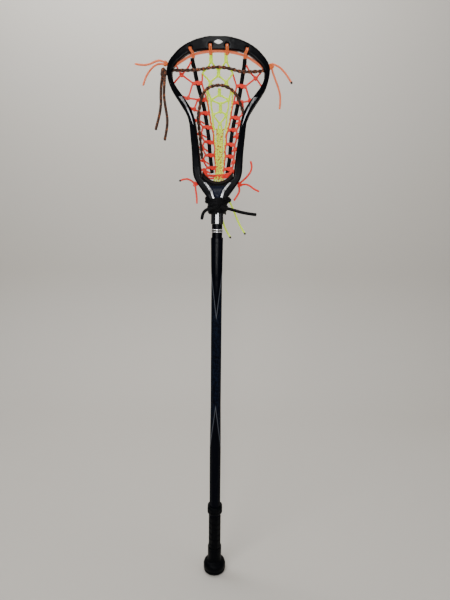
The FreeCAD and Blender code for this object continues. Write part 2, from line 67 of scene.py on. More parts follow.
# ---- shader building ---------------------------------------------------------------

class Value:
    """A number socket that can stand in sums."""

    def __init__(self, tree, socket):
        self.tree = tree
        self.socket = socket

    def math(self, operation, *others, flip=False):
        node = self.tree.nodes.new("ShaderNodeMath")
        node.operation = operation
        terms = [self, *others]
        if flip:
            terms.reverse()
        for slot, term in zip(node.inputs, terms):
            if isinstance(term, Value):
                self.tree.links.new(term.socket, slot)
            else:
                slot.default_value = term
        return Value(self.tree, node.outputs[0])

    def __add__(self, other):
        return self.math("ADD", other)

    __radd__ = __add__

    def __mul__(self, other):
        return self.math("MULTIPLY", other)

    __rmul__ = __mul__

    def __sub__(self, other):
        return self.math("SUBTRACT", other)

    def __rsub__(self, other):
        return self.math("SUBTRACT", other, flip=True)

    def __truediv__(self, other):
        return self.math("DIVIDE", other)

    def __pow__(self, other):
        return self.math("POWER", other)

    def __gt__(self, other):
        return self.math("GREATER_THAN", other)

    def __lt__(self, other):
        return self.math("LESS_THAN", other)

    def __abs__(self):
        return self.math("ABSOLUTE")

    def sin(self):
        return self.math("SINE")

    def ramp(self, low, high):
        """0 below low, 1 above high, smooth between them."""
        node = self.tree.nodes.new("ShaderNodeMapRange")
        node.interpolation_type = "SMOOTHSTEP"
        self.tree.links.new(self.socket, node.inputs["Value"])
        node.inputs["From Min"].default_value = low
        node.inputs["From Max"].default_value = high
        return Value(self.tree, node.outputs[0])


class Finish:
    """One material and the nodes in it."""

    def __init__(self, name, **uniform):
        self.material = bpy.data.materials.new(name)
        self.material.use_nodes = True
        self.tree = self.material.node_tree
        self.shader = self.tree.nodes["Principled BSDF"]
        for key, value in uniform.items():
            self.shader.inputs[key.replace("_", " ")].default_value = value

    def node(self, kind, settings=None, sockets=None):
        made = self.tree.nodes.new(kind)
        for key, value in (settings or {}).items():
            setattr(made, key, value)
        for key, value in (sockets or {}).items():
            if isinstance(value, Value):
                value = value.socket
            if isinstance(value, bpy.types.NodeSocket):
                self.tree.links.new(value, made.inputs[key])
            else:
                made.inputs[key].default_value = value
        return made

    def value(self, node, output=0):
        return Value(self.tree, node.outputs[output])

    def place(self, kind="Object"):
        """X, Y and Z of the surface in millimetres above the datum, or U, V with kind UV."""
        coordinates = self.node("ShaderNodeTexCoord")
        parts = self.node("ShaderNodeSeparateXYZ", sockets={0: coordinates.outputs[kind]})
        if kind == "UV":
            return [self.value(parts, index) for index in range(3)]
        x, y, z = [self.value(parts, index) * (1 / MM) for index in range(3)]
        return x, y, z + BUTT_FACE

    def noise(self, size, detail=3.0, kind="Object", roughness=0.5, stretch=(1, 1, 1)):
        """Noise with features of about the size, in metres or in UV units."""
        coordinates = self.node("ShaderNodeTexCoord").outputs[kind]
        spread = self.node(
            "ShaderNodeVectorMath", {"operation": "MULTIPLY"}, {0: coordinates, 1: stretch})
        made = self.node(
            "ShaderNodeTexNoise", None,
            {"Vector": spread.outputs[0], "Scale": 1 / size, "Detail": detail,
             "Roughness": roughness})
        return self.value(made)

    def speckle(self, size, kind="Object"):
        """Random value per small cell."""
        coordinates = self.node("ShaderNodeTexCoord").outputs[kind]
        made = self.node(
            "ShaderNodeTexVoronoi", None,
            {"Vector": coordinates, "Scale": 1 / size, "Randomness": 1.0})
        parts = self.node("ShaderNodeSeparateColor", None, {0: made.outputs["Color"]})
        return self.value(parts)

    def mix(self, factor, first, second):
        """Colour between two colours or colour sockets."""
        made = self.node("ShaderNodeMix", {"data_type": "RGBA"}, {0: factor, 6: first, 7: second})
        return made.outputs[2]

    def feed(self, **links):
        for key, link in links.items():
            socket = link.socket if isinstance(link, Value) else link
            self.tree.links.new(socket, self.shader.inputs[key.replace("_", " ")])

    def bump(self, height, distance, strength=1.0):
        made = self.node(
            "ShaderNodeBump", None, {"Height": height, "Distance": distance, "Strength": strength})
        self.feed(Normal=made.outputs[0])


def rgba(colour):
    return (*tuple(colour)[:3], 1.0)


def shade(colour, factor):
    return tuple(channel * factor for channel in tuple(colour)[:3]) + (1.0,)


def moulded_plastic(name, colour, gloss_low=0.17, gloss_high=0.34):
    """Hard moulded nylon: faint orange peel and fine scuffs."""
    finish = Finish(name, Specular_IOR_Level=0.035, Coat_Roughness=0.06)
    broad = finish.noise(0.045, 4)
    fine = finish.noise(0.0009, 2)
    scuff = finish.noise(0.004, 5, roughness=0.7, stretch=(1, 1, 0.18)).ramp(0.58, 0.74)
    finish.feed(
        Base_Color=finish.mix(scuff * 0.4, rgba(colour), shade(colour, 2.2)),
        Roughness=broad.ramp(0.3, 0.7) * (gloss_high - gloss_low) + gloss_low + scuff * 0.18)
    finish.bump(fine * 0.5 + broad * 2.0 - scuff * 0.4, 0.00012, 0.5)
    return finish


def braided_cord(
        name, colours, pitch=1.6, rows=3, roughness=0.62, fleck=0.0, fleck_colour=None, painted_glow=0.0,
        sheen=0.1):
    """Braided cord: U runs along it in diameters, V once round it. Colours are low, main and
    worn; low is painted shade in the gaps of the weave. Glow is the share of painted light
    that the cord gives off as emission, though it is no lamp."""
    low, main, worn = [rgba(colour) for colour in colours]
    # Emission here is painted glow: the cord lights itself though it is no lamp.
    finish = Finish(
        name, Sheen_Weight=sheen, Sheen_Roughness=0.5, Specular_IOR_Level=sheen * 2.5,
        Emission_Strength=painted_glow)
    along, around, _ = finish.place("UV")
    slope = along * (TURN / pitch)
    turn = around * (TURN * rows)
    weave = abs(((slope + turn) * 0.5).sin() * ((slope - turn) * 0.5).sin()) ** 0.5
    patches = finish.noise(0.006, 3).ramp(0.35, 0.7)
    fibres = finish.noise(0.0004, 2)
    body = finish.mix(patches * 0.55, main, worn)
    if fleck:
        cells = finish.speckle(0.0021) < fleck
        body = finish.mix(cells * 0.9, body, rgba(fleck_colour))
    # The low colour in the gaps of the weave is painted shade; the emission colour is the cord's
    # painted glow.
    finish.feed(
        Base_Color=finish.mix((1 - weave) * 0.75, body, low), Emission_Color=body,
        Roughness=fibres * 0.2 + (roughness - 0.1))
    finish.bump(weave + fibres * 0.3, 0.00025, 0.8)
    return finish.material


# ---- mesh building -----------------------------------------------------------------

def new_piece(name, verts, faces, uvs=None, smooth=True):
    """Mesh object from plain lists. uvs has one pair per corner, face by face."""
    mesh = bpy.data.meshes.new(name)
    mesh.from_pydata([tuple(v) for v in verts], [], faces)
    if uvs is not None:
        layer = mesh.uv_layers.new(name="UVMap")
        layer.data.foreach_set("uv", [number for pair in uvs for number in pair])
    mesh.update()
    if smooth:
        mesh.polygons.foreach_set("use_smooth", [True] * len(mesh.polygons))
    piece = bpy.data.objects.new(name, mesh)
    bpy.context.collection.objects.link(piece)
    return piece


def tidy_normals(piece):
    """Faces point outwards."""
    shape = bmesh.new()
    shape.from_mesh(piece.data)
    bmesh.ops.recalc_face_normals(shape, faces=shape.faces)
    shape.to_mesh(piece.data)
    shape.free()


def smooth_route(points, fineness=6):
    """Points in metres along the NURBS line that has the route's points, in millimetres."""
    curve = bpy.data.curves.new("route", "CURVE")
    curve.dimensions = "3D"
    curve.resolution_u = fineness
    spline = curve.splines.new("NURBS")
    spline.points.add(len(points) - 1)
    for control, place in zip(spline.points, points):
        control.co = (*metres(place), 1)
    spline.order_u = 3
    spline.use_endpoint_u = True
    spline.resolution_u = fineness
    holder = bpy.data.objects.new("route", curve)
    mesh = bpy.data.meshes.new_from_object(holder)
    path = [vertex.co.copy() for vertex in mesh.vertices]
    bpy.data.objects.remove(holder)
    bpy.data.curves.remove(curve)
    bpy.data.meshes.remove(mesh)
    return path


def frames(path):
    """Tangent, side and lift at each point, with as little twist as the path allows."""
    tangents = []
    for index in range(len(path)):
        low, high = max(0, index - 1), min(len(path) - 1, index + 1)
        tangents.append((path[high] - path[low]).normalized())
    lift = tangents[0].orthogonal()
    result = []
    for tangent in tangents:
        lift = (lift - tangent * lift.dot(tangent)).normalized()
        result.append((tangent, tangent.cross(lift), lift))
    return result


def lengths_along(path):
    total = [0.0]
    for before, after in zip(path, path[1:]):
        total.append(total[-1] + (after - before).length)
    return total


class Strands:
    """Collects cords and ribbons into one mesh."""

    def __init__(self, seed=1):
        self.verts = []
        self.faces = []
        self.uvs = []
        self.draw = random.Random(seed)

    def ring_strip(self, rings, along, sides):
        """Joins rings of points and closes both ends."""
        start = len(self.verts)
        for ring in rings:
            self.verts.extend(ring)
        for row in range(len(rings) - 1):
            for side in range(sides):
                beside = (side + 1) % sides
                low, high = start + row * sides, start + (row + 1) * sides
                self.faces.append((low + side, low + beside, high + beside, high + side))
                v0, v1 = side / sides, (side + 1) / sides
                self.uvs += [
                    (along[row], v0), (along[row], v1), (along[row + 1], v1), (along[row + 1], v0)]
        last = start + (len(rings) - 1) * sides
        self.faces.append(tuple(range(start + sides - 1, start - 1, -1)))
        self.uvs += [(along[0], 0.5)] * sides
        self.faces.append(tuple(range(last, last + sides)))
        self.uvs += [(along[-1], 0.5)] * sides

    def tube(self, path, radius, sides=10):
        """Round cord of the radius, in metres, with rounded ends."""
        axes = frames(path)
        total = lengths_along(path)
        rings, along = [], []
        for centre, (_, side, lift), run in zip(path, axes, total):
            ring = []
            for step in range(sides):
                angle = TURN * step / sides
                across, up = radius * math.cos(angle), radius * math.sin(angle)
                ring.append(centre + side * across + lift * up)
            rings.append(ring)
            along.append(run / (2 * radius))
        self.round_ends(rings, along, path, axes, radius)
        self.ring_strip(rings, along, sides)

    def round_ends(self, rings, along, path, axes, radius):
        """Two shrinking rings at each end, inside the path's own length."""
        for at_end in (False, True):
            index = len(path) - 1 if at_end else 0
            centre, tangent = path[index], axes[index][0] * (1 if at_end else -1)
            ring = rings[-1] if at_end else rings[0]
            for shrink, out in ((0.8, 0.35), (0.4, 0.55)):
                smaller = [centre + (p - centre) * shrink + tangent * (radius * out) for p in ring]
                if at_end:
                    rings.append(smaller)
                    along.append(along[-1] + out / 2)
                else:
                    rings.insert(0, smaller)
                    along.insert(0, along[0] - out / 2)

    def ribbon(self, path, width, thickness, hint, sides=14):
        """Flat cord with rounded edges. Its thickness lies along the hint."""
        self.winding(path, width, thickness, [Vector(hint)] * len(path), sides)

    def winding(self, path, width, thickness, hints, sides=14, power=3.2):
        """Flat cord whose thickness lies along its own hint at each point."""
        total = lengths_along(path)
        rings, along = [], []
        for index, (centre, hint, run) in enumerate(zip(path, hints, total)):
            low, high = max(0, index - 1), min(len(path) - 1, index + 1)
            tangent = (path[high] - path[low]).normalized()
            lift = (hint - tangent * hint.dot(tangent)).normalized()
            side = tangent.cross(lift)
            rings.append(self.flat_ring(centre, side, lift, width, thickness, sides, power))
            along.append(run / width)
        self.ring_strip(rings, along, sides)

    def flat_ring(self, centre, side, lift, width, thickness, sides, power):
        ring = []
        for step in range(sides):
            angle = TURN * step / sides
            c, s = math.cos(angle), math.sin(angle)
            across = math.copysign(abs(c) ** (2 / power), c) * width / 2
            up = math.copysign(abs(s) ** (2 / power), s) * thickness / 2
            ring.append(centre + side * across + lift * up)
        return ring

    def rope(self, path, radius, plies=2, pitch=5.0, sides=8):
        """Twisted cord: plies wind round each other once every pitch radii."""
        axes = frames(path)
        total = lengths_along(path)
        for ply in range(plies):
            wound = []
            for centre, (_, side, lift), run in zip(path, axes, total):
                angle = TURN * (ply / plies + run / (pitch * radius))
                out = side * math.cos(angle) + lift * math.sin(angle)
                wound.append(centre + out * radius * 0.42)
            self.tube(wound, radius * 0.6, sides)

    def link(self, points, radius, sides=8, fineness=5):
        """Cord through points in millimetres."""
        self.tube(smooth_route(points, fineness), radius * MM, sides)

    def double(self, points, radius, gap=0.95):
        """Two cords side by side in the plane of the pocket."""
        for sign in (-1, 1):
            moved = []
            for index, place in enumerate(points):
                low, high = max(0, index - 1), min(len(points) - 1, index + 1)
                run = Vector(points[high]) - Vector(points[low])
                side = Vector((run.z, 0, -run.x)).normalized()
                moved.append(tuple(Vector(place) + side * (sign * radius * gap)))
            self.link(moved, radius)

    def knot(self, centre, size, radius, tilt=0.0):
        """Small tied knot: a trefoil loop, size across, centred at a point in millimetres."""
        steps = 40
        turn = Matrix.Rotation(tilt, 3, "Y")
        path = []
        for step in range(steps + 1):
            t = TURN * step / steps
            place = Vector((
                math.sin(t) + 2 * math.sin(2 * t), -math.sin(3 * t) * 0.9,
                math.cos(t) - 2 * math.cos(2 * t)))
            path.append(metres(Vector(centre) + turn @ place * (size / 6)))
        self.tube(path, radius * MM, 8)

    def wrap(self, centre, half_x, half_y, height, turns, radius, tilt=0.0):
        """Cord wound round a ribbon that stands at the centre, in millimetres."""
        steps = int(16 * turns)
        path = []
        for step in range(steps + 1):
            t = step / steps
            angle = TURN * turns * t - math.pi / 2
            x = half_x * math.cos(angle)
            path.append(metres((
                centre[0] + x, centre[1] + half_y * math.sin(angle),
                centre[2] + (t - 0.5) * height + x * tilt)))
        self.tube(path, radius * MM, 8)

    def piece(self, name):
        return new_piece(name, self.verts, self.faces, self.uvs)


def finish_piece(piece, material, body, *nodes, slot=None):
    """Material, body and the CAD nodes that the piece stands for."""
    piece.data.materials.clear()
    piece.data.materials.append(material)
    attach(piece, body)
    if nodes:
        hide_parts(*nodes)
    return piece


def dress_node(name, material, edge=0.0):
    """Keeps a CAD node, with the material and softened edges."""
    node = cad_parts[name]
    node.data.materials.clear()
    node.data.materials.append(material)
    if edge:
        bevel = node.modifiers.new("soft_edges", "BEVEL")
        bevel.width = edge * MM
        bevel.segments = 2
        bevel.limit_method = "ANGLE"
        bevel.angle_limit = math.radians(35)
        bevel.harden_normals = False
    return node


def remeshed(name, node, voxel):
    """Copy of a CAD node as an even, soft-edged skin."""
    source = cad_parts[node]
    piece = bpy.data.objects.new(name, source.data.copy())
    bpy.context.collection.objects.link(piece)
    remesh = piece.modifiers.new("skin", "REMESH")
    remesh.mode = "VOXEL"
    remesh.voxel_size = voxel * MM
    bake_modifiers(piece)
    return piece


def soften(piece, passes):
    smooth = piece.modifiers.new("soften", "SMOOTH")
    smooth.factor = 0.5
    smooth.iterations = passes
    bake_modifiers(piece)


def bake_modifiers(piece):
    """Makes the modified shape the piece's own mesh."""
    graph = bpy.context.evaluated_depsgraph_get()
    graph.update()
    shape = bpy.data.meshes.new_from_object(piece.evaluated_get(graph))
    piece.modifiers.clear()
    old = piece.data
    piece.data = shape
    bpy.data.meshes.remove(old)
    piece.data.polygons.foreach_set("use_smooth", [True] * len(piece.data.polygons))


def read_points(piece):
    """The piece's points in millimetres above the datum."""
    flat = np.empty(len(piece.data.vertices) * 3, dtype=np.float32)
    piece.data.vertices.foreach_get("co", flat)
    return flat.reshape(-1, 3).astype(float) / MM + (0, 0, BUTT_FACE)


def write_points(piece, points):
    flat = ((points - (0, 0, BUTT_FACE)) * MM).astype(np.float32).ravel()
    piece.data.vertices.foreach_set("co", flat)
    piece.data.update()


def step_between(values, low, high):
    """0 below low, 1 above high, smooth between them."""
    t = np.clip((values - low) / (high - low), 0, 1)
    return t * t * (3 - 2 * t)


# ---- sizes and colours ---------------------------------------------------------------

def colour_property(name, default, description):
    return FloatVectorProperty(
        name=name, description=description, subtype="COLOR", size=3, default=default, min=0, max=1)


class LacrosseHeadLooks(bpy.types.PropertyGroup):
    plastic: colour_property("Head plastic", (0.0018, 0.0020, 0.0030), "Colour of the moulded head")
    panel: colour_property(
        "Throat panel", (0.006, 0.008, 0.017), "Colour of the throat's sunk panel")
    accent: colour_property("Accents", (0.55, 0.56, 0.58), "Colour of the metallic slivers")
    foam: colour_property("Ball stop", (0.0025, 0.0025, 0.0032), "Colour of the ball stop's foam")
    voxel: FloatProperty(
        name="Skin fineness", description="Size of the head skin's faces, in millimetres",
        default=1.15, min=0.6, max=3)
    softness: IntProperty(
        name="Edge softness", description="Smoothing passes over the head's edges",
        default=5, min=0, max=30)


class LacrosseStringLooks(bpy.types.PropertyGroup):
    red: colour_property("Side lacing", (0.90, 0.030, 0.020), "Colour of the side lacing")
    red_worn: colour_property("Side lacing, worn", (0.95, 0.12, 0.06), "Rubbed side lacing")
    orange: colour_property("Loops", (0.86, 0.17, 0.03), "Colour of the scoop's loops")
    peach: colour_property("Top string", (0.90, 0.20, 0.08), "Colour of the top string")
    lime: colour_property("Centre mesh", (0.62, 0.92, 0.005), "Colour of the centre mesh")
    lime_worn: colour_property("Centre mesh, worn", (0.85, 0.95, 0.10), "Rubbed centre mesh")
    brown: colour_property(
        "Shooting strings", (0.045, 0.018, 0.010), "Colour of the shooting strings")
    runner: colour_property("Runners", (0.0026, 0.0026, 0.0032), "Colour of the two runners")
    string_radius: FloatProperty(
        name="String radius", description="Radius of the lacing, in millimetres", default=1.65,
        min=0.4, max=3)


class LacrosseShaftLooks(bpy.types.PropertyGroup):
    paint: colour_property("Shaft", (0.0012, 0.0015, 0.0028), "Colour of the shaft's paint")
    grip: colour_property("Grip", (0.0012, 0.0016, 0.0038), "Colour of the grip coat")
    rubber: colour_property("Rubber", (0.0012, 0.0015, 0.0022), "Colour of the cap and ring")
    steel: colour_property("Collar", (0.80, 0.80, 0.81), "Colour of the polished collar")
    tape_pitch: FloatProperty(
        name="Tape pitch", description="Rise of each turn of tape, in millimetres", default=13,
        min=4, max=30)


class LacrosseStageLooks(bpy.types.PropertyGroup):
    floor: colour_property("Floor", (0.56, 0.53, 0.48), "Colour of the floor and backdrop")
    key_power: FloatProperty(
        name="Key light", description="Power of the large light, in watts", default=34, min=0,
        max=500)


GROUPS = {
    "lacrosse_head": LacrosseHeadLooks,
    "lacrosse_strings": LacrosseStringLooks,
    "lacrosse_shaft": LacrosseShaftLooks,
    "lacrosse_stage": LacrosseStageLooks,
}


# ---- shape of the head and pocket, in millimetres --------------------------------------

FRONT_EDGE = [
    (-12.8, 806), (-14.5, 820), (-18, 842), (-19.5, 870), (-19, 905), (-16, 945),
    (-12.5, 985), (-11.5, 1015), (-13, 1040), (-17.5, 1064), (-25, 1086)]
BACK_EDGE = [
    (12.8, 806), (15, 820), (19.5, 842), (23, 870), (24, 905), (21.5, 945),
    (16, 985), (10.5, 1015), (4, 1040), (-6, 1064), (-18, 1086)]
HEAD_OUTER = [
    (14, 810), (21, 819), (32, 834), (42.5, 851), (45.8, 875), (47, 900), (49.5, 926),
    (52, 948), (58.6, 966), (66.8, 979), (77, 994), (85.5, 1008), (90, 1023), (91.2, 1034)]
HEAD_INNER = [
    (29, 856), (30.5, 866), (32, 880), (34.5, 903), (38, 930), (41, 951), (47, 969),
    (57, 985), (68, 999), (77, 1012), (81.5, 1024), (81.7, 1033), (78, 1041)]
SCOOP_TOP = [(0, 1087), (38, 1081.7), (64, 1070.7), (81, 1056.5), (91, 1040)]
SCOOP_EDGE = [(0, 1067.5), (28, 1066.5), (50, 1062), (68, 1051), (80, 1038)]
THROAT_PANEL = {"low": 812.0, "high": 843.0, "low_half": 3.5, "high_half": 20.5}

# down each runner and along the walls: X, Y and Z
RUNNER_LEFT = [
    (-47, -9, 1063), (-46, -4, 1050), (-43, 1, 1042), (-39, 9, 1022), (-34, 15, 1005),
    (-27.5, 21, 986), (-24, 27, 966), (-19, 33, 937), (-17, 36, 916), (-15.5, 36, 897),
    (-13, 32, 880), (-11, 24, 863), (-10, 19, 852)]
RUNNER_RIGHT = [
    (48, -9, 1063), (46.5, -4, 1050), (45.5, 1, 1042), (42, 9, 1022), (39.5, 15, 1003),
    (36, 21, 985), (32.5, 27, 969), (27, 33, 944), (24, 36, 920), (23, 36, 899),
    (21, 32, 881), (18, 24, 863), (16, 19, 852)]
WALL = [
    (62, -8, 1063), (66, -3, 1050), (78, 0, 1040), (80, 5, 1022), (72, 8, 1005), (57.5, 12, 986),
    (46.5, 15, 966), (39, 18, 937), (36, 19.5, 916), (34, 20, 897), (32, 19.5, 880),
    (30, 18, 863), (27, 17, 852)]


def at(points, key, index, place):
    """One coordinate of a list of points, read at a place along another coordinate."""
    ordered = sorted(points, key=lambda point: point[key])
    return float(np.interp(
        place, [point[key] for point in ordered], [point[index] for point in ordered]))


def front_at(z):
    return at(FRONT_EDGE, 1, 0, z)


def back_at(z):
    return at(BACK_EDGE, 1, 0, z)


def runner_x(side, z):
    return at(RUNNER_RIGHT if side > 0 else RUNNER_LEFT, 2, 0, z)


def wall_x(side, z):
    return side * at(WALL, 2, 0, z)


def pocket_y(x, z):
    """How far back the hanging pocket lies at a place on the open face."""
    left, right = runner_x(-1, z), runner_x(1, z)
    deep_left, deep_right = at(RUNNER_LEFT, 2, 1, z), at(RUNNER_RIGHT, 2, 1, z)
    if left <= x <= right:
        t = (x - left) / (right - left)
        return deep_left + (deep_right - deep_left) * t + 1.5 * math.sin(math.pi * t)
    side = 1 if x > right else -1
    start, deep = (right, deep_right) if side > 0 else (left, deep_left)
    t = min(1.0, (x - start) / (wall_x(side, z) - start))
    return deep + (at(WALL, 2, 1, z) - deep) * t


def on_pocket(points, lift=0.0):
    """Gives (X, Z) places their depth on the pocket, less the lift."""
    return [(x, pocket_y(x, z) - lift, z) for x, z in points]


# ---- head --------------------------------------------------------------------------------

def sculpt_head(points):
    """Thins the side walls between their rails, dishes the scoop and sinks the throat panels."""
    x, y, z = points.T.copy()
    across = np.abs(x)
    front = np.interp(z, [p[1] for p in FRONT_EDGE], [p[0] for p in FRONT_EDGE])
    back = np.interp(z, [p[1] for p in BACK_EDGE], [p[0] for p in BACK_EDGE])
    outer = np.interp(z, [p[1] for p in HEAD_OUTER], [p[0] for p in HEAD_OUTER])
    inner = np.interp(z, [p[1] for p in HEAD_INNER], [p[0] for p in HEAD_INNER])
    depth = (y - front) / (back - front)
    between_rails = step_between(depth, 0.18, 0.32) * (1 - step_between(depth, 0.68, 0.82))
    along_wall = step_between(z, 848, 866) * (1 - step_between(z, 1016, 1040))
    outside = across > (outer + inner) / 2
    sink = np.where(outside, -3.4, 2.2) * between_rails * along_wall
    x += np.sign(x) * sink
    edge = np.interp(across, [p[0] for p in SCOOP_EDGE], [p[1] for p in SCOOP_EDGE])
    top = np.interp(across, [p[0] for p in SCOOP_TOP], [p[1] for p in SCOOP_TOP])
    up = np.clip((z - edge) / (top - edge), 0, 1)
    dish = 4 * up * (1 - up) * (1 - step_between(across, 62, 82)) * (z > 1030)
    y += 0.1 * dish
    half = np.interp(
        z, [THROAT_PANEL["low"], THROAT_PANEL["high"]],
        [THROAT_PANEL["low_half"], THROAT_PANEL["high_half"]]) - 2.0
    in_panel = step_between(half - across, 0, 1.6) * step_between(z, 813, 817)
    in_panel *= 1 - step_between(z, 834, 837.5)
    y += 1.5 * in_panel * (y < front + 2.5)
    back_half = np.interp(z, [812, 845], [8, 31]) - 4.5
    in_back = step_between(back_half - across, 0, 2) * step_between(z, 814, 819)
    in_back *= 1 - step_between(z, 831, 836)
    y -= 2.0 * in_back * (y > back - 2.5)
    return np.stack([x, y, z], axis=1)


def head_finish(looks):
    """Moulded plastic with a darker blue panel let into the throat."""
    finish = moulded_plastic("head_plastic", looks.plastic)
    x, y, z = finish.place()
    rise = (THROAT_PANEL["high_half"] - THROAT_PANEL["low_half"]) / (
        THROAT_PANEL["high"] - THROAT_PANEL["low"])
    half = (z - THROAT_PANEL["low"]) * rise + (THROAT_PANEL["low_half"] - 2.4)
    inside = (abs(x) < half) * (z > 815) * (z < 837) * (y < -8)
    weave = finish.noise(0.0012, 4, stretch=(1, 1, 0.2)).ramp(0.35, 0.7)
    panel = finish.mix(weave * 0.6, rgba(looks.panel), shade(looks.panel, 2.4))
    plain = finish.shader.inputs["Base Color"].links[0].from_socket
    socket = 1 - z.ramp(800, 806)
    finish.feed(Base_Color=finish.mix(inside, plain, panel), Coat_Weight=socket * 0.95 + 0.02)
    return finish.material


def accent_finish(name, looks, change_z, run):
    """Metallic film: greyer above the change of height, bright below it."""
    finish = Finish(name, Roughness=0.3, Metallic=0.15, Coat_Weight=0.4)
    _, _, z = finish.place()
    bright = 1 - z.ramp(change_z - run, change_z + run)
    streaks = finish.noise(0.0022, 3, stretch=(1, 1, 0.4)).ramp(0.4, 0.6)
    grey = finish.mix(streaks, shade(looks.accent, 0.12), shade(looks.accent, 0.6))
    finish.feed(Base_Color=finish.mix(bright, grey, shade(looks.accent, 1.5)))
    finish.bump(streaks, 0.0001, 0.3)
    return finish.material


class LACROSSE_OT_head(bpy.types.Operator):
    """Moulded head with its slivers, mark and screw"""
    bl_idname = "lacrosse.head"
    bl_label = "Build head"

    def execute(self, context):
        looks = context.scene.lacrosse_head
        shell = remeshed("head_shell", "head_frame", looks.voxel)
        write_points(shell, sculpt_head(read_points(shell)))
        soften(shell, looks.softness)
        finish_piece(shell, head_finish(looks), STICK, "head_frame", slot="head_plastic")
        side = accent_finish("side_accent_film", looks, 968, 9)
        throat = accent_finish("throat_accent_film", looks, 824, 5)
        for hand in ("left", "right"):
            dress_node("side_accent_" + hand, side, 0.25)
            dress_node("throat_accent_" + hand, throat, 0.25)
        self.add_mark(shell, looks)
        screw = Finish("screw_steel", Metallic=1.0, Base_Color=(0.42, 0.42, 0.44, 1))
        screw.feed(Roughness=screw.noise(0.0006, 3) * 0.3 + 0.2)
        dress_node("head_screw", screw.material, 0.15)
        return {"FINISHED"}

    def add_mark(self, shell, looks):
        """Plain white lozenge printed on the middle of the scoop."""
        half_width, half_height, lift = 8.0, 3.4, 0.25
        steps = 28
        verts, faces = [], []
        for share in (0.0, 0.5, 0.9, 1.0):
            for step in range(steps):
                angle = TURN * step / steps
                c, s = math.cos(angle), math.sin(angle)
                reach = share / (abs(c) ** 1.3 + abs(s) ** 1.3) ** (1 / 1.3)
                x, z = half_width * reach * c, 1077.5 + half_height * reach * s
                hit = shell.ray_cast(metres((x, -90, z)), Vector((0, 1, 0)))[1]
                verts.append((hit.x, hit.y - (lift if share < 1 else -0.2) * MM, hit.z))
        for row in range(3):
            for step in range(steps):
                beside = (step + 1) % steps
                low, high = row * steps, (row + 1) * steps
                faces.append((low + step, high + step, high + beside, low + beside))
        mark = new_piece("scoop_mark", verts, faces)
        merge_close(mark)
        tidy_normals(mark)
        finish = Finish("scoop_mark_print", Coat_Weight=0.3)
        wear = finish.noise(0.002, 4).ramp(0.6, 0.75)
        finish.feed(
            Base_Color=finish.mix(wear, (0.82, 0.82, 0.80, 1), (0.5, 0.5, 0.5, 1)),
            Roughness=wear * 0.3 + 0.3)
        finish_piece(mark, finish.material, STICK, slot="accent_silver")


def merge_close(piece, distance=1e-6):
    shape = bmesh.new()
    shape.from_mesh(piece.data)
    bmesh.ops.remove_doubles(shape, verts=shape.verts, dist=distance)
    shape.to_mesh(piece.data)
    shape.free()


class LACROSSE_OT_ball_stop(bpy.types.Operator):
    """Foam ball stop on the throat's inner face"""
    bl_idname = "lacrosse.ball_stop"
    bl_label = "Build ball stop"

    def execute(self, context):
        looks = context.scene.lacrosse_head
        pad = remeshed("ball_stop", "ball_stop_pad", 0.8)
        points = read_points(pad)
        x, y, z = points.T.copy()
        lip = 842 + 37 - np.sqrt(np.clip(37.0 ** 2 - x ** 2, 1, None))
        rise = step_between(y, -9, 12) * (5.0 + 4.5 * (x / 27) ** 2) - 0.3
        z += np.where(z > lip - 1.8, rise, 0)
        write_points(pad, np.stack([x, y, z], axis=1))
        soften(pad, 6)
        finish = Finish("stop_foam", Sheen_Weight=0.03, Specular_IOR_Level=0.1)
        cells = finish.speckle(0.0009)
        soft = finish.noise(0.004, 4)
        finish.feed(
            Base_Color=finish.mix(cells * 0.5, rgba(looks.foam), shade(looks.foam, 2.2)),
            Roughness=soft * 0.2 + 0.75)
        finish.bump(cells + soft, 0.0002, 0.6)
        finish_piece(pad, finish.material, STICK, "ball_stop_pad", slot="stop_foam")
        return {"FINISHED"}


# ---- pocket ------------------------------------------------------------------------------

STRING_FINISHES = {}


def finishes(context):
    """Materials of all the strings by colour name, made once."""
    if STRING_FINISHES:
        return STRING_FINISHES
    looks = context.scene.lacrosse_strings
    lime, worn_lime, brown, orange = looks.lime, looks.lime_worn, looks.brown, looks.orange
    # Each cord's first colour is painted shade for the gaps of its weave, and each glow share is
    # painted light from emission.
    STRING_FINISHES["red"] = braided_cord(
        "string_red", (shade(looks.red, 0.35), looks.red, looks.red_worn), painted_glow=0.22)
    STRING_FINISHES["orange"] = braided_cord(
        "string_orange", (shade(orange, 0.4), orange, looks.peach), painted_glow=0.15)
    STRING_FINISHES["peach"] = braided_cord(
        "string_salmon", (shade(looks.peach, 0.5), looks.peach, shade(looks.peach, 1.3)), painted_glow=0.18)
    STRING_FINISHES["lime"] = braided_cord(
        "string_lime", (shade(lime, 0.3), lime, worn_lime), painted_glow=0.4)
    STRING_FINISHES["edge"] = braided_cord(
        "string_edge", (shade(lime, 0.08), worn_lime, lime), pitch=2.2, rows=2, painted_glow=0.34,
        fleck=0.24, fleck_colour=(0.55, 0.16, 0.03))
    STRING_FINISHES["brown"] = braided_cord(
        "string_brown", (shade(brown, 0.4), brown, shade(brown, 2.5)), fleck=0.16,
        fleck_colour=(0.50, 0.13, 0.035))
    STRING_FINISHES["black"] = braided_cord(
        "string_black", ((0.001, 0.001, 0.001), looks.runner, shade(looks.runner, 1.8)),
        rows=5, pitch=0.8, roughness=0.5, sheen=0.03)
    STRING_FINISHES["burnt"] = braided_cord(
        "string_burnt", ((0.004, 0.003, 0.002), (0.02, 0.012, 0.008), (0.05, 0.03, 0.02)),
        roughness=0.4)
    return STRING_FINISHES


RUNNER_WIDTH = 7.4
RUNNER_THICKNESS = 2.5


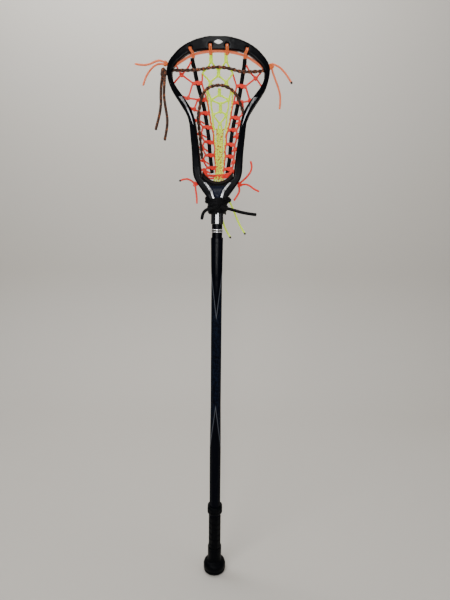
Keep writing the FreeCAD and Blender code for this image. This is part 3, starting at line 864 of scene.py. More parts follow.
class LACROSSE_OT_runners(bpy.types.Operator):
    """Two flat runners that carry the pocket"""
    bl_idname = "lacrosse.runners"
    bl_label = "Build runners"

    def execute(self, context):
        material = finishes(context)["black"]
        for hand, points in (("left", RUNNER_LEFT), ("right", RUNNER_RIGHT)):
            strands = Strands()
            path = [(x, y + 1.2, z) for x, y, z in points[1:-1]]
            path = [(path[0][0], path[0][1] - 3, path[0][2] + 6)] + path
            strands.ribbon(
                smooth_route(path), RUNNER_WIDTH * MM, RUNNER_THICKNESS * MM, (0, 1, 0.25),
                sides=20)
            runner = strands.piece("runner_strap_" + hand)
            finish_piece(runner, material, STICK, "runner_" + hand, slot="runner_black")
        return {"FINISHED"}


# centre mesh, (X, Z): doubled cords, single cords and knots
MESH_DOUBLE = [
    [(-13, 1066), (-13.5, 1059), (-13, 1052)], [(13.5, 1066), (13, 1059), (13.5, 1052)],
    [(0, 1040), (0.5, 1036), (0, 1031)], [(2, 1011), (1.6, 1006), (2, 1001)],
    [(4, 987), (3.6, 981), (4, 974)],
]
MESH_SINGLE = [
    [(-13, 1052), (-16, 1047), (-20, 1042)], [(-13, 1052), (-9, 1047), (-5, 1043)],
    [(13.5, 1052), (9, 1047), (6, 1043)], [(13.5, 1052), (17, 1048), (20, 1042)],
    [(-20, 1042), (-24, 1039), (-29, 1034)], [(20, 1042), (23, 1039), (26, 1034)],
    [(-5, 1043), (-2, 1041), (0, 1039)], [(6, 1043), (3, 1041), (0, 1039)],
    [(-29, 1034), (-22, 1028), (-15, 1021)], [(26, 1034), (20, 1028), (14, 1021)],
    [(0, 1031), (-7, 1027), (-15, 1021)], [(0, 1031), (7, 1027), (14, 1021)],
    [(-15, 1021), (-17, 1016), (-20, 1010)], [(-15, 1021), (-11, 1017), (-9, 1013)],
    [(14, 1021), (17, 1017), (21, 1011)], [(14, 1021), (11, 1017), (12, 1013)],
    [(2, 1001), (-5, 998), (-13, 993)], [(2, 1001), (10, 998), (19, 993)],
    [(-20, 1009), (-17, 1001), (-13, 993)], [(23, 1009), (22, 1001), (19, 993)],
    [(-13, 993), (-5, 989), (4, 987)], [(19, 993), (12, 989), (4, 987)],
    [(-13, 993), (-14.5, 981), (-10, 969)], [(19, 993), (20, 981), (15, 969)],
    [(4, 974), (-2, 972), (-10, 969)], [(4, 974), (10, 972), (15, 969)],
    [(-10, 969), (-6, 962), (3, 954)], [(15, 969), (11, 962), (3, 954)],
    [(-10, 969), (-12, 956), (-7, 943)], [(15, 969), (17, 956), (12, 943)],
    [(3, 954), (-3, 948), (3, 940)], [(3, 954), (9, 948), (3, 940)],
]
MESH_KNOTS = [
    (-13, 1052), (13.5, 1052), (0, 1031), (-15, 1021), (14, 1021), (2, 1001), (-13, 993), (19, 993),
    (4, 987), (4, 974), (-10, 969), (15, 969), (3, 954), (3, 940)]
MESH_EDGES = [
    [(-21, 1006), (-19.5, 995), (-19, 983), (-17, 972), (-15.5, 960), (-12.5, 949), (-9, 938),
     (-7, 925), (-5, 911), (-5.5, 897), (-4, 884), (-4.5, 872), (-3, 861)],
    [(26, 1005), (25.5, 995), (25.5, 983), (23, 972), (22, 960), (19, 949), (15, 938),
     (14, 925), (12, 911), (12.5, 897), (11, 884), (11, 872), (9.5, 861)],
]
# the plaited column below the mesh: heights, half width at each end, and turns down its length
COLUMN_TOP = 944.0
COLUMN_FOOT = 852.0
COLUMN_HALF_TOP = 7.2
COLUMN_HALF_FOOT = 3.8
COLUMN_MIDDLE = 3.2
COLUMN_TURNS = 4.6
COLUMN_STEPS = 26
FAN_FOOT = 840.0
FAN_ENDS = (-8, -3, 2, 7, 12)


class LACROSSE_OT_centre_mesh(bpy.types.Operator):
    """Knotted cord mesh down the middle of the pocket"""
    bl_idname = "lacrosse.centre_mesh"
    bl_label = "Build centre mesh"

    def execute(self, context):
        looks = context.scene.lacrosse_strings
        radius = looks.string_radius * 0.96
        strands = Strands(3)
        for points in MESH_DOUBLE:
            strands.double(on_pocket(points, 0.5), radius)
        for points in MESH_SINGLE:
            strands.link(on_pocket(points, 0.3), radius * 1.05)
        for index, (x, z) in enumerate(MESH_KNOTS):
            strands.knot((x, pocket_y(x, z) - 0.6, z), 5.2, radius * 0.9, 0.7 * index)
        mesh = strands.piece("centre_mesh_cords")
        finish_piece(mesh, finishes(context)["lime"], STICK, "centre_mesh", slot="mesh_yellow")
        edges = Strands(4)
        self.column(edges, radius)
        for points in MESH_EDGES:
            edges.rope(smooth_route(on_pocket(points, -0.6), 8), radius * 1.35 * MM, 2, 7.0)
        piece = edges.piece("centre_mesh_edges")
        finish_piece(piece, finishes(context)["edge"], STICK, slot="mesh_yellow")
        return {"FINISHED"}

    def column(self, strands, radius):
        """Close plait in the lower pocket, from four cords."""
        for strand in range(4):
            points = []
            for step in range(COLUMN_STEPS + 1):
                share = step / COLUMN_STEPS
                z = COLUMN_TOP + (COLUMN_FOOT - COLUMN_TOP) * share
                half = COLUMN_HALF_TOP + (COLUMN_HALF_FOOT - COLUMN_HALF_TOP) * share
                angle = TURN * (share * COLUMN_TURNS + strand / 4)
                x = COLUMN_MIDDLE + half * math.sin(angle)
                y = pocket_y(x, z) - 0.4 + 1.6 * math.cos(2 * angle)
                points.append((x, y, z))
            strands.link(points, radius * 1.1, fineness=4)
        for x in FAN_ENDS:
            near = 3 + (x - 3) * 0.5
            route = [(near, COLUMN_FOOT + 6), (x, COLUMN_FOOT - 3), (x, FAN_FOOT)]
            strands.link(on_pocket(route, 0.6), radius)


# side lacing: heights of the wraps round each runner, and the knots by the wall, (X, Z)
LACING = {
    -1: {"wraps": [1019, 993, 971, 947, 921, 897, 873],
         "knots": [(-66, 1031), (-55, 994), (-44.5, 976), (-36, 955), (-32.5, 932), (-30, 909),
                   (-28, 886), (-25.5, 868)],
         "inner": [(-29, 1034), (-26, 1007), (-19, 983), (-15, 960), (-9, 935), (-6, 909),
                   (-5.5, 885), (-4.5, 864)]},
    1: {"wraps": [1015, 989, 964, 943, 917, 895, 871],
        "knots": [(67, 1027), (57.5, 991), (47, 969), (39.5, 951), (35, 929), (32, 906),
                  (30, 884), (27, 867)],
        "inner": [(26, 1034), (31, 1004), (25.5, 978), (21.5, 954), (15, 930), (13, 906),
                  (12.5, 884), (10.5, 864)]},
}
LACING_TURNS = 2.5
CROSSING_HEIGHTS = (958, 934, 909, 885, 868)


class LACROSSE_OT_side_lacing(bpy.types.Operator):
    """Lacing between the runners, the side walls and the centre mesh"""
    bl_idname = "lacrosse.side_lacing"
    bl_label = "Build side lacing"

    def execute(self, context):
        radius = context.scene.lacrosse_strings.string_radius
        for side, hand in ((-1, "left"), (1, "right")):
            strands = Strands(7 + side)
            plan = LACING[side]
            ends = [self.wrap(strands, side, z, radius) for z in plan["wraps"]]
            for index, (outer, inner) in enumerate(ends):
                for knot in plan["knots"][index:index + 2]:
                    self.strand(strands, knot, outer, side, radius)
                for place in plan["inner"][index:index + 2]:
                    self.strand(strands, place, inner, side, radius * 0.9)
            for index, (x, z) in enumerate(plan["knots"]):
                self.to_wall(strands, side, x, z, radius, index)
            self.crossings(strands, side, radius)
            x, z = plan["knots"][0]
            route = [(x, z), (x - side * 13, z + 10), (x - side * 17, z + 19)]
            strands.link(on_pocket(route, 0.4), radius)
            piece = strands.piece("side_lacing_cords_" + hand)
            finish_piece(
                piece, finishes(context)["red"], STICK, "side_lacing_" + hand, slot="lacing_red")
        return {"FINISHED"}

    def wrap(self, strands, side, z, radius):
        """Turns round the runner. Gives the outer and inner end, (X, Z)."""
        x = runner_x(side, z)
        centre = (x, pocket_y(x, z) + 1.2, z)
        strands.wrap(centre, 6.4 + radius, 1.6 + radius, 3.0 * radius, LACING_TURNS, radius,
                     tilt=strands.draw.uniform(-0.12, 0.12))
        return (x + side * 8.2, z), (x - side * 8.2, z + 0.6)

    def strand(self, strands, start, end, side, radius):
        """Cord with a slight sag between two places."""
        middle = ((start[0] + end[0]) / 2 + strands.draw.uniform(-0.8, 0.8),
                  (start[1] + end[1]) / 2 - 0.6)
        strands.link(on_pocket([start, middle, end], 0.2), radius)

    def to_wall(self, strands, side, x, z, radius, index):
        """Knot, and the cords from it into the wall's holes."""
        y = pocket_y(x, z)
        strands.knot((x, y - 0.3, z), 6.2, radius, 0.9 * index)
        spread = 13 if index == 0 else 3.0
        for step in (-1, 1) if index < 3 else (0,):
            hole_z = z + step * spread
            hole = (wall_x(side, hole_z) + side * 1.5, hole_z)
            near = (x + side * 0.45 * abs(hole[0] - x), z + step * spread * 0.35)
            strands.link(on_pocket([(x, z), near, hole], 0.1), radius * 0.95)

    def crossings(self, strands, side, radius):
        """Rows across the lower pocket, where the lacing lies close."""
        for z in CROSSING_HEIGHTS:
            wall = wall_x(side, z) + side * 1
            runner = runner_x(side, z) + side * 4
            sway = strands.draw.uniform(-2, 2)
            middle = ((wall + runner) / 2, z + sway)
            strands.link(on_pocket([(wall, z), middle, (runner, z - 5)], -0.6), radius)


TOP_STRING = [
    (-78, -6, 1043), (-66, -7.4, 1049.5), (-49, -9.8, 1058.8), (-32, -11.2, 1063.2),
    (-16, -12, 1065.2), (0, -12.3, 1065.8), (16, -12, 1065.2), (32, -11.2, 1063.2),
    (49, -9.8, 1058.8), (66, -7.4, 1049.5), (78, -6, 1042)]
BOTTOM_STRING = [(-27.5, 12, 858), (-14, 19, 856.5), (0, 22, 856), (14, 19, 857), (27.5, 12, 859)]
# X of each loop, and how far it leans sideways on its way down
SCOOP_LOOPS = [(-49, 5.0), (-14, 0.3), (15, 0.3), (50, -3.5)]
TOP_RADIUS = 1.15
FOOT_RADIUS = 1.5
LOOP_RADIUS = 1.15
# each cord of the foot string: lift, set back and slope along X
FOOT_CORDS = [(2.6, 0.0, 0.05), (-0.4, 0.4, -0.04), (-3.4, 0.8, 0.03), (0.8, 2.4, 0.0)]


class LACROSSE_OT_top_and_foot(bpy.types.Operator):
    """Top string, loops round the scoop's edge and the string at the pocket's foot"""
    bl_idname = "lacrosse.top_and_foot"
    bl_label = "Build top and foot strings"

    def execute(self, context):
        colours = finishes(context)
        top = Strands(11)
        for lift, back in ((1.1, 0.0), (-1.1, 0.7)):
            top.link([(x, y + back, z + lift) for x, y, z in TOP_STRING], TOP_RADIUS)
        finish_piece(top.piece("top_string_pair"), colours["peach"], STICK, "top_string",
                     slot="string_peach")
        loops = Strands(12)
        for x, lean in SCOOP_LOOPS:
            self.loop(loops, x, lean)
        finish_piece(loops.piece("scoop_loop_cords"), colours["orange"], STICK, "scoop_loops",
                     slot="loop_orange")
        foot = Strands(13)
        for lift, back, slope in FOOT_CORDS:
            foot.link(
                [(x, y + back, z + lift + slope * x) for x, y, z in BOTTOM_STRING], FOOT_RADIUS)
        for x in (-19, -9, 2, 12, 21):
            y = at(BOTTOM_STRING, 0, 1, x)
            foot.wrap((x, y + 0.8, 857), 1.6, 3.0, 4.2, 1.5, 1.15, tilt=0.4)
        for x, z in ((-24, 864), (26, 865)):
            foot.knot((x, pocket_y(x, z), z), 8.0, FOOT_RADIUS, x)
        finish_piece(foot.piece("bottom_string_cords"), colours["red"], STICK, "bottom_string",
                     slot="lacing_red")
        return {"FINISHED"}

    def loop(self, strands, x, lean):
        """Two cords from a hole in the scoop, down its face and round its edge."""
        edge = at(SCOOP_EDGE, 0, 1, abs(x))
        hole = edge + 7
        front, back = front_at(hole) + 1.2, back_at(hole) + 1.5
        low_front = front_at(edge)
        for sign in (-1, 1):
            a, b = x + 1.4 * sign, x + lean + 1.5 * sign
            strands.link([
                (a, front + 4.5, hole + 0.5), (a, front - 1.6, hole + 0.6),
                (a, front - 2.0, hole - 3),
                (b, low_front - 0.6, edge - 1.5), (b, low_front + 2.6, edge - 4.6),
                (b, (low_front + back_at(edge)) / 2, edge - 5.6),
                (b, back_at(edge) - 1.0, edge - 3.2), (a, back_at(edge) + 1.6, edge),
                (a, back + 0.6, hole - 2.5), (a, back + 0.2, hole + 0.6),
                (a, back - 4.5, hole + 0.4)],
                LOOP_RADIUS, sides=10, fineness=6)
        strands.wrap((x + lean, low_front + 5, edge - 6.4), 2.4, 2.0, 1.6, 1.6, 0.9)


SHOOTER_RADIUS = 3.1
SHOOTER_PITCH = 6.0
SHOOTER_UPPER = [
    (-84, -4.5, 1035.8), (-63, -3.4, 1036.6), (-46, -2.6, 1037), (-29, -2.2, 1039),
    (-12, -2, 1042.5), (5, -2.2, 1043), (22, -2, 1040.5), (40, -2.4, 1035.2), (60, -3, 1035.4),
    (84, -4.5, 1036.8)]
SHOOTER_LOWER = [
    (-29.5, 8, 888), (-32, 8.6, 916), (-35, 8.8, 942), (-37.5, 10.5, 960), (-35.5, 12.5, 972),
    (-33, 11.8, 985), (-29.5, 10, 997.5), (-23, 7.5, 1008), (-11.5, 6.3, 1013.5), (3, 5.8, 1015.5),
    (17, 6.5, 1012.5), (29, 8, 1004.5), (36, 9.4, 994.5), (40, 10.6, 985.5), (43, 10.8, 977.5),
    (46.5, 10.6, 969)]


class LACROSSE_OT_shooting_strings(bpy.types.Operator):
    """Two twisted shooting strings"""
    bl_idname = "lacrosse.shooting_strings"
    bl_label = "Build shooting strings"

    def execute(self, context):
        material = finishes(context)["brown"]
        for name, points in (("upper", SHOOTER_UPPER), ("lower", SHOOTER_LOWER)):
            strands = Strands(21)
            strands.rope(smooth_route(points, 12), SHOOTER_RADIUS * MM, 2, SHOOTER_PITCH)
            piece = strands.piece("shooting_rope_" + name)
            finish_piece(piece, material, STICK, "shooting_string_" + name, slot="shooter_brown")
        return {"FINISHED"}


# ---- throat lace, knots and tails --------------------------------------------------------

LACE_WIDTH = 5.4
LACE_THICKNESS = 2.3
# each winding of the lace: start and end heights, turns, first angle and lift off the throat
LACE_COILS = [
    (787.5, 812, 5.2, 0.0, 2.4), (809, 789, 3.5, 1.6, 4.2), (806, 815, 1.6, 3.0, 2.0)]
# each knot of the lace: place, size, radius and tilt
LACE_KNOTS = [
    ((-17.2, -8.5, 812), 10.5, 2.3, 0.5), ((18.8, -8.5, 812), 10.5, 2.3, 0.5),
    ((-11.5, -16.2, 800), 10, 2.3, 1.2), ((14, -15.4, 797), 10, 2.4, 0.2)]


def throat_half(z):
    """Half widths of what the lace is wound on, along X and Y."""
    return 14.9 + max(0.0, z - 806) * 0.85, 15.2 + max(0.0, z - 806) * 0.25


class LACROSSE_OT_throat_lace(bpy.types.Operator):
    """Lace wound and crossed round the throat"""
    bl_idname = "lacrosse.throat_lace"
    bl_label = "Build throat lace"

    def execute(self, context):
        strands = Strands(31)
        for plan in LACE_COILS:
            self.coil(strands, *plan)
        for plan in LACE_KNOTS:
            strands.knot(*plan)
        piece = strands.piece("throat_lace_winding")
        finish_piece(piece, finishes(context)["black"], STICK, "throat_lace", slot="lace_black")
        return {"FINISHED"}

    def coil(self, strands, start, end, turns, phase, lift):
        """Flat lace wound from one height to another, lift outside the throat."""
        steps = int(turns * 28)
        path, hints = [], []
        for step in range(steps + 1):
            share = step / steps
            angle = TURN * turns * share + phase
            z = start + (end - start) * share + 1.1 * math.sin(angle * 2 + phase)
            half_x, half_y = throat_half(z)
            out = lift - 1.6 + 0.5 * math.sin(angle * 3 + phase)
            path.append(metres((
                (half_x + out) * math.cos(angle), (half_y + out) * math.sin(angle), z)))
            hints.append(Vector((math.cos(angle), math.sin(angle), 0)))
        strands.winding(path, LACE_WIDTH * MM, LACE_THICKNESS * MM, hints)


# each tied knot: colour, centre, size, cord radius and slot
KNOTS = {
    "shooting_knot": ("brown", (-96, -5.5, 1031.5), 13.0, 2.3, "shooter_brown"),
    "top_knot_left": ("orange", (-92.9, -6, 1046.5), 7.6, 1.4, "loop_orange"),
    "top_knot_right": ("orange", (93.2, -6, 1043.5), 8.0, 1.5, "loop_orange"),
    "lower_knot_left": ("red", (-41.4, 0, 840.6), 8.0, 1.45, "lacing_red"),
    "lower_knot_right": ("red", (41.4, 0, 840.6), 8.0, 1.45, "lacing_red"),
    "mesh_knot": ("lime", (5, 23.6, 828), 9.6, 1.7, "mesh_yellow"),
}
# each free end: colour, diameter, length, burnt tip or not, and its route
TAILS = {
    "top_tail_left_upper": ("peach", 3.6, 53.6, 0, [
        (-94.3, -7.6, 1048), (-102, -9.5, 1051), (-110, -11, 1048.5), (-120, -13, 1043),
        (-132, -14.5, 1040.5), (-145, -15, 1042.5)]),
    "top_tail_left_lower": ("peach", 3.6, 59.0, 0, [
        (-94.5, -4.9, 1045), (-104, -4, 1047.3), (-114, -3, 1043.5), (-123, -3, 1034.5),
        (-130, -3.5, 1023.5), (-134, -4.5, 1011)]),
    "top_tail_right_upper": ("peach", 3.6, 50.2, 1, [
        (94.5, -7.4, 1047.6), (104, -9.5, 1044.5), (113, -11, 1037), (122, -12.5, 1026.5),
        (130, -13, 1014.5)]),
    "top_tail_right_lower": ("peach", 3.6, 74.0, 0, [
        (93.5, -5.5, 1044.5), (96.5, -4.5, 1034), (102.5, -3.5, 1021), (108.5, -3, 1007),
        (112.5, -3, 992), (111, -3.5, 974)]),
    "shooting_tail_long": ("brown", 5.0, 115.2, 0, [
        (-94.8, -5.5, 1032), (-95.5, -8.5, 1014), (-97, -9.5, 992), (-93.5, -9, 970),
        (-90.5, -8, 951), (-93, -7, 933), (-96.5, -6.5, 918)]),
    "shooting_tail_short": ("brown", 5.0, 97.4, 0, [
        (-99, -1.2, 1032.8), (-101.8, -1.4, 1017), (-103.5, -1.5, 998), (-103, -1, 979),
        (-107, -0.5, 958), (-113.5, 0, 937)]),
    "lower_tail_left_side": ("red", 3.6, 31.3, 1, [
        (-42.5, 1, 842), (-47.5, -2, 846), (-54, -4.5, 849.5), (-62, -5, 849.5), (-70, -5, 846)]),
    "lower_tail_left_down": ("red", 3.6, 33.5, 0, [
        (-41, -1.5, 838.6), (-40.5, -5, 829), (-38, -6.5, 818), (-38, -7, 806)]),
    "lower_tail_right_hook": ("red", 3.6, 48.4, 0, [
        (41, -1.5, 842.5), (47.5, -2, 848), (55, -2.5, 855), (61, -3, 863), (64, -3, 873),
        (61, -3.5, 882)]),
    "lower_tail_right_side": ("red", 3.6, 38.0, 0, [
        (43.5, 1.8, 840), (51, -0.5, 842), (60, -4, 839), (68, -5, 832.5), (77, -5.5, 828.5)]),
    "lower_tail_right_down": ("red", 3.6, 31.2, 0, [
        (40, 0.5, 838.5), (42, -3.5, 829.5), (37.5, -8, 821), (31.5, -9.5, 812)]),
    "mesh_tail_long": ("lime", 3.6, 93.3, 1, [
        (7.5, 24.5, 826.7), (16, 25.5, 820), (24, 25, 809), (31, 22, 794),
        (38, 18, 777), (45, 13.5, 762), (54, 10, 749)]),
    "mesh_tail_short": ("lime", 3.6, 90.5, 1, [
        (3.8, 25.5, 826), (4.6, 26.5, 814), (5.5, 26, 799), (8, 24.5, 783),
        (12, 21, 767), (18, 17.5, 753), (26, 14.5, 741)]),
    "throat_lace_tail_left": ("black", 6.0, 38.5, 0, [
        (-1, -19.3, 797), (-13, -19.5, 797), (-22.5, -18.8, 792.5), (-27, -18.5, 785.5),
        (-28.2, -18.5, 777.5)]),
    "throat_lace_tail_right": ("black", 6.0, 64.9, 0, [
        (8, -17.5, 798.5), (22.4, -18.5, 796.2), (43, -18.8, 790.2), (60, -19, 787.2),
        (71.5, -19, 786)]),
}
TAIL_SLOTS = {
    "peach": "loop_orange", "brown": "shooter_brown", "red": "lacing_red", "lime": "mesh_yellow",
    "black": "lace_black"}


class LACROSSE_OT_knots_and_tails(bpy.types.Operator):
    """Tied knots and the free ends of the strings"""
    bl_idname = "lacrosse.knots_and_tails"
    bl_label = "Build knots and tails"

    def execute(self, context):
        colours = finishes(context)
        for node, (colour, centre, size, radius, slot) in KNOTS.items():
            strands = Strands(41)
            strands.knot(centre, size, radius, 0.6)
            strands.knot(centre, size * 0.72, radius, 2.1)
            finish_piece(strands.piece(node + "_tied"), colours[colour], STICK, node, slot=slot)
        tips = Strands(42)
        for node, (colour, diameter, length, burnt, points) in TAILS.items():
            path = smooth_route(points, 8)
            strands = Strands(43)
            strands.tube(path, diameter / 2 * MM, 12)
            tail = strands.piece(node + "_cord")
            finish_piece(tail, colours[colour], STICK, node, slot=TAIL_SLOTS[colour])
            if burnt:
                tip = path[-1].lerp(path[-2], 2.4 * MM / (path[-1] - path[-2]).length)
                tips.tube([tip, tip.lerp(path[-1], 0.5), path[-1]], diameter * 0.54 * MM, 12)
        finish_piece(tips.piece("burnt_tips"), colours["burnt"], STICK, slot="shooter_brown")
        return {"FINISHED"}


# ---- shaft -------------------------------------------------------------------------------

SHAFT_HALF_X = 9.8
SHAFT_HALF_Y = 11.0
SHAFT_CORNER = 5.2
# heights of the tube, the grips and the tape
SHAFT_FOOT, SHAFT_TOP = 21, 830
UPPER_GRIP_LOW, UPPER_GRIP_HIGH = 506, 742
LOWER_GRIP_LOW, LOWER_GRIP_HIGH = 73, 505.4
TAPE_LOW, TAPE_HIGH = 73, 150
# pointed edge of each grip's weave: height at the middle and rise per millimetre of X
UPPER_POINT = (587, 8.3)
LOWER_POINT = (401, -8.0)
# how proud each turn of tape stands at its lap, and how far the lap takes up the turn
TAPE_LAP = 0.85
TAPE_LAP_END = 0.93
# polished collar: height and offset of each ring of its outline
COLLAR_PROFILE = [
    (752.0, 0.4), (752.3, 0.85), (753.1, 1.0), (753.9, 0.85), (754.2, 0.3), (756.2, 0.3),
    (756.5, 0.85), (757.3, 1.0), (758.1, 0.85), (758.4, 0.4)]
COLLAR_GROOVE = (754.1, 756.3)


def shaft_ring(offset, z, round_by=1.5):
    """Rounded eight-sided ring of 40 points at height z, the offset outside the tube."""
    a, b = SHAFT_HALF_X + offset, SHAFT_HALF_Y + offset
    c = SHAFT_CORNER + offset * (2 - math.sqrt(2))
    corners = [
        Vector((a, b - c)), Vector((a - c, b)), Vector((c - a, b)), Vector((-a, b - c)),
        Vector((-a, c - b)), Vector((c - a, -b)), Vector((a - c, -b)), Vector((a, c - b))]
    ring = []
    for index, corner in enumerate(corners):
        before, after = corners[index - 1], corners[(index + 1) % 8]
        start = corner + (before - corner).normalized() * round_by
        end = corner + (after - corner).normalized() * round_by
        for share in (0.0, 0.33, 0.67, 1.0):
            bend = start * (1 - share) ** 2 + corner * (2 * share * (1 - share)) + end * share ** 2
            ring.append(Vector((bend.x, bend.y, z)))
        flat = end.lerp(after + (corner - after).normalized() * round_by, 0.5)
        ring.append(Vector((flat.x, flat.y, z)))
    return ring


def round_ring(radius, z):
    """Circle at height z with one point beside each point of the shaft's ring."""
    rise = Vector((0, 0, z))
    return [Vector((p.x, p.y, 0)).normalized() * radius + rise for p in shaft_ring(0, 0)]


def stack(name, rings, closed_inside):
    """Skin over a stack of rings, with U round it and V up it in millimetres."""
    count = len(rings[0])
    verts = [metres(point) for ring in rings for point in ring]
    faces, uvs = [], []
    total = len(rings)
    rounds = []
    for ring in rings:
        run = [0.0]
        for index in range(count):
            run.append(run[-1] + (ring[(index + 1) % count] - ring[index]).length)
        rounds.append(run)
    for row in range(total if closed_inside else total - 1):
        above = (row + 1) % total
        for index in range(count):
            beside = (index + 1) % count
            faces.append((
                row * count + index, row * count + beside, above * count + beside,
                above * count + index))
            low, high = rings[row][0].z, rings[above][0].z
            uvs += [
                (rounds[row][index], low), (rounds[row][index + 1], low),
                (rounds[above][index + 1], high), (rounds[above][index], high)]
    if not closed_inside:
        faces.append(tuple(range(count - 1, -1, -1)))
        uvs += [(0, rings[0][0].z)] * count
        start = (total - 1) * count
        faces.append(tuple(range(start, start + count)))
        uvs += [(0, rings[-1][0].z)] * count
    piece = new_piece(name, verts, faces, uvs)
    tidy_normals(piece)
    return piece


def sleeve(name, low, high, offset_at, inside, pitch=3.0, edge=0.6, raise_at=None):
    """Sleeve on the shaft between two heights. raise_at lifts single points of its skin."""
    heights = [low + edge * share for share in (0.0, 0.3, 1.0)]
    count = max(1, int((high - low - 2 * edge) / pitch))
    heights += [low + edge + (high - low - 2 * edge) * (i + 1) / count for i in range(count)]
    heights += [high - edge * 0.3, high]
    rings = [shaft_ring(inside, low)]
    for z in heights:
        drop = edge * (1 - math.sqrt(max(0, 1 - (1 - min(z - low, high - z, edge) / edge) ** 2)))
        ring = shaft_ring(max(inside + 0.02, offset_at(z) - drop), z)
        if raise_at:
            for point in ring:
                out = Vector((point.x, point.y, 0)).normalized()
                point += out * raise_at(point.x, point.y, z)
        rings.append(ring)
    rings.append(shaft_ring(inside, high))
    return stack(name, rings, closed_inside=True)


def glossy_paint(name, colour):
    """Painted alloy: smooth, with fine handling scratches along the tube."""
    finish = Finish(name, Specular_IOR_Level=0.03)
    scratches = finish.noise(0.0012, 5, stretch=(1, 1, 0.04)).ramp(0.62, 0.72)
    broad = finish.noise(0.05, 3)
    finish.feed(
        Base_Color=finish.mix(scratches * 0.5, rgba(colour), shade(colour, 4)),
        Roughness=broad * 0.1 + 0.13 + scratches * 0.1)
    finish.bump(scratches * -1.0 + broad * 0.4, 0.00006, 0.4)
    return finish.material


def grip_finish(name, colour, line, smooth_above):
    """Grip coat: a fine diamond weave outside the pointed ends, smooth inside them.
    line gives the pointed edge as a height at the middle and a slope per millimetre of X."""
    finish = Finish(name, Specular_IOR_Level=0.035)
    x, _, z = finish.place()
    u, v, _ = finish.place("UV")
    edge = abs(x) * line[1] + line[0]
    above = (z - edge) if smooth_above else (edge - z)
    smooth = above.ramp(-0.6, 0.6)
    reach = math.hypot(1, line[1])
    pinstripe = 1 - abs(above).ramp(0.25 * reach, 0.75 * reach)
    cell = 3.4
    first = ((u + v) * (TURN / (2 * cell))).sin()
    second = ((u - v) * (TURN / (2 * cell))).sin()
    diamonds = abs(first * second) ** 0.6
    patches = finish.noise(0.0032, 2).ramp(0.45, 0.6)
    textured = finish.mix(
        (1 - diamonds) * patches * 0.8, rgba(colour), (0.010, 0.018, 0.042, 1))
    body = finish.mix(smooth, textured, rgba(colour))
    finish.feed(
        Base_Color=finish.mix(pinstripe * 0.8, body, (0.11, 0.12, 0.14, 1)),
        Roughness=smooth * -0.12 + 0.24 + finish.noise(0.02, 3) * 0.1)
    finish.bump(diamonds * (1 - smooth) + finish.noise(0.0006, 2) * 0.15, 0.0003, 0.7)
    return finish.material


def rubber_finish(name, colour, grain=0.0008):
    """Moulded rubber with fine grain and patches of dust."""
    finish = Finish(name, Specular_IOR_Level=0.035)
    fine = finish.noise(grain, 3)
    dust = finish.noise(0.012, 5, roughness=0.65).ramp(0.5, 0.78)
    finish.feed(
        Base_Color=finish.mix(dust * 0.2, rgba(colour), (0.014, 0.014, 0.015, 1)),
        Roughness=fine * 0.15 + 0.3 + dust * 0.2)
    finish.bump(fine, 0.00015, 0.5)
    return finish.material


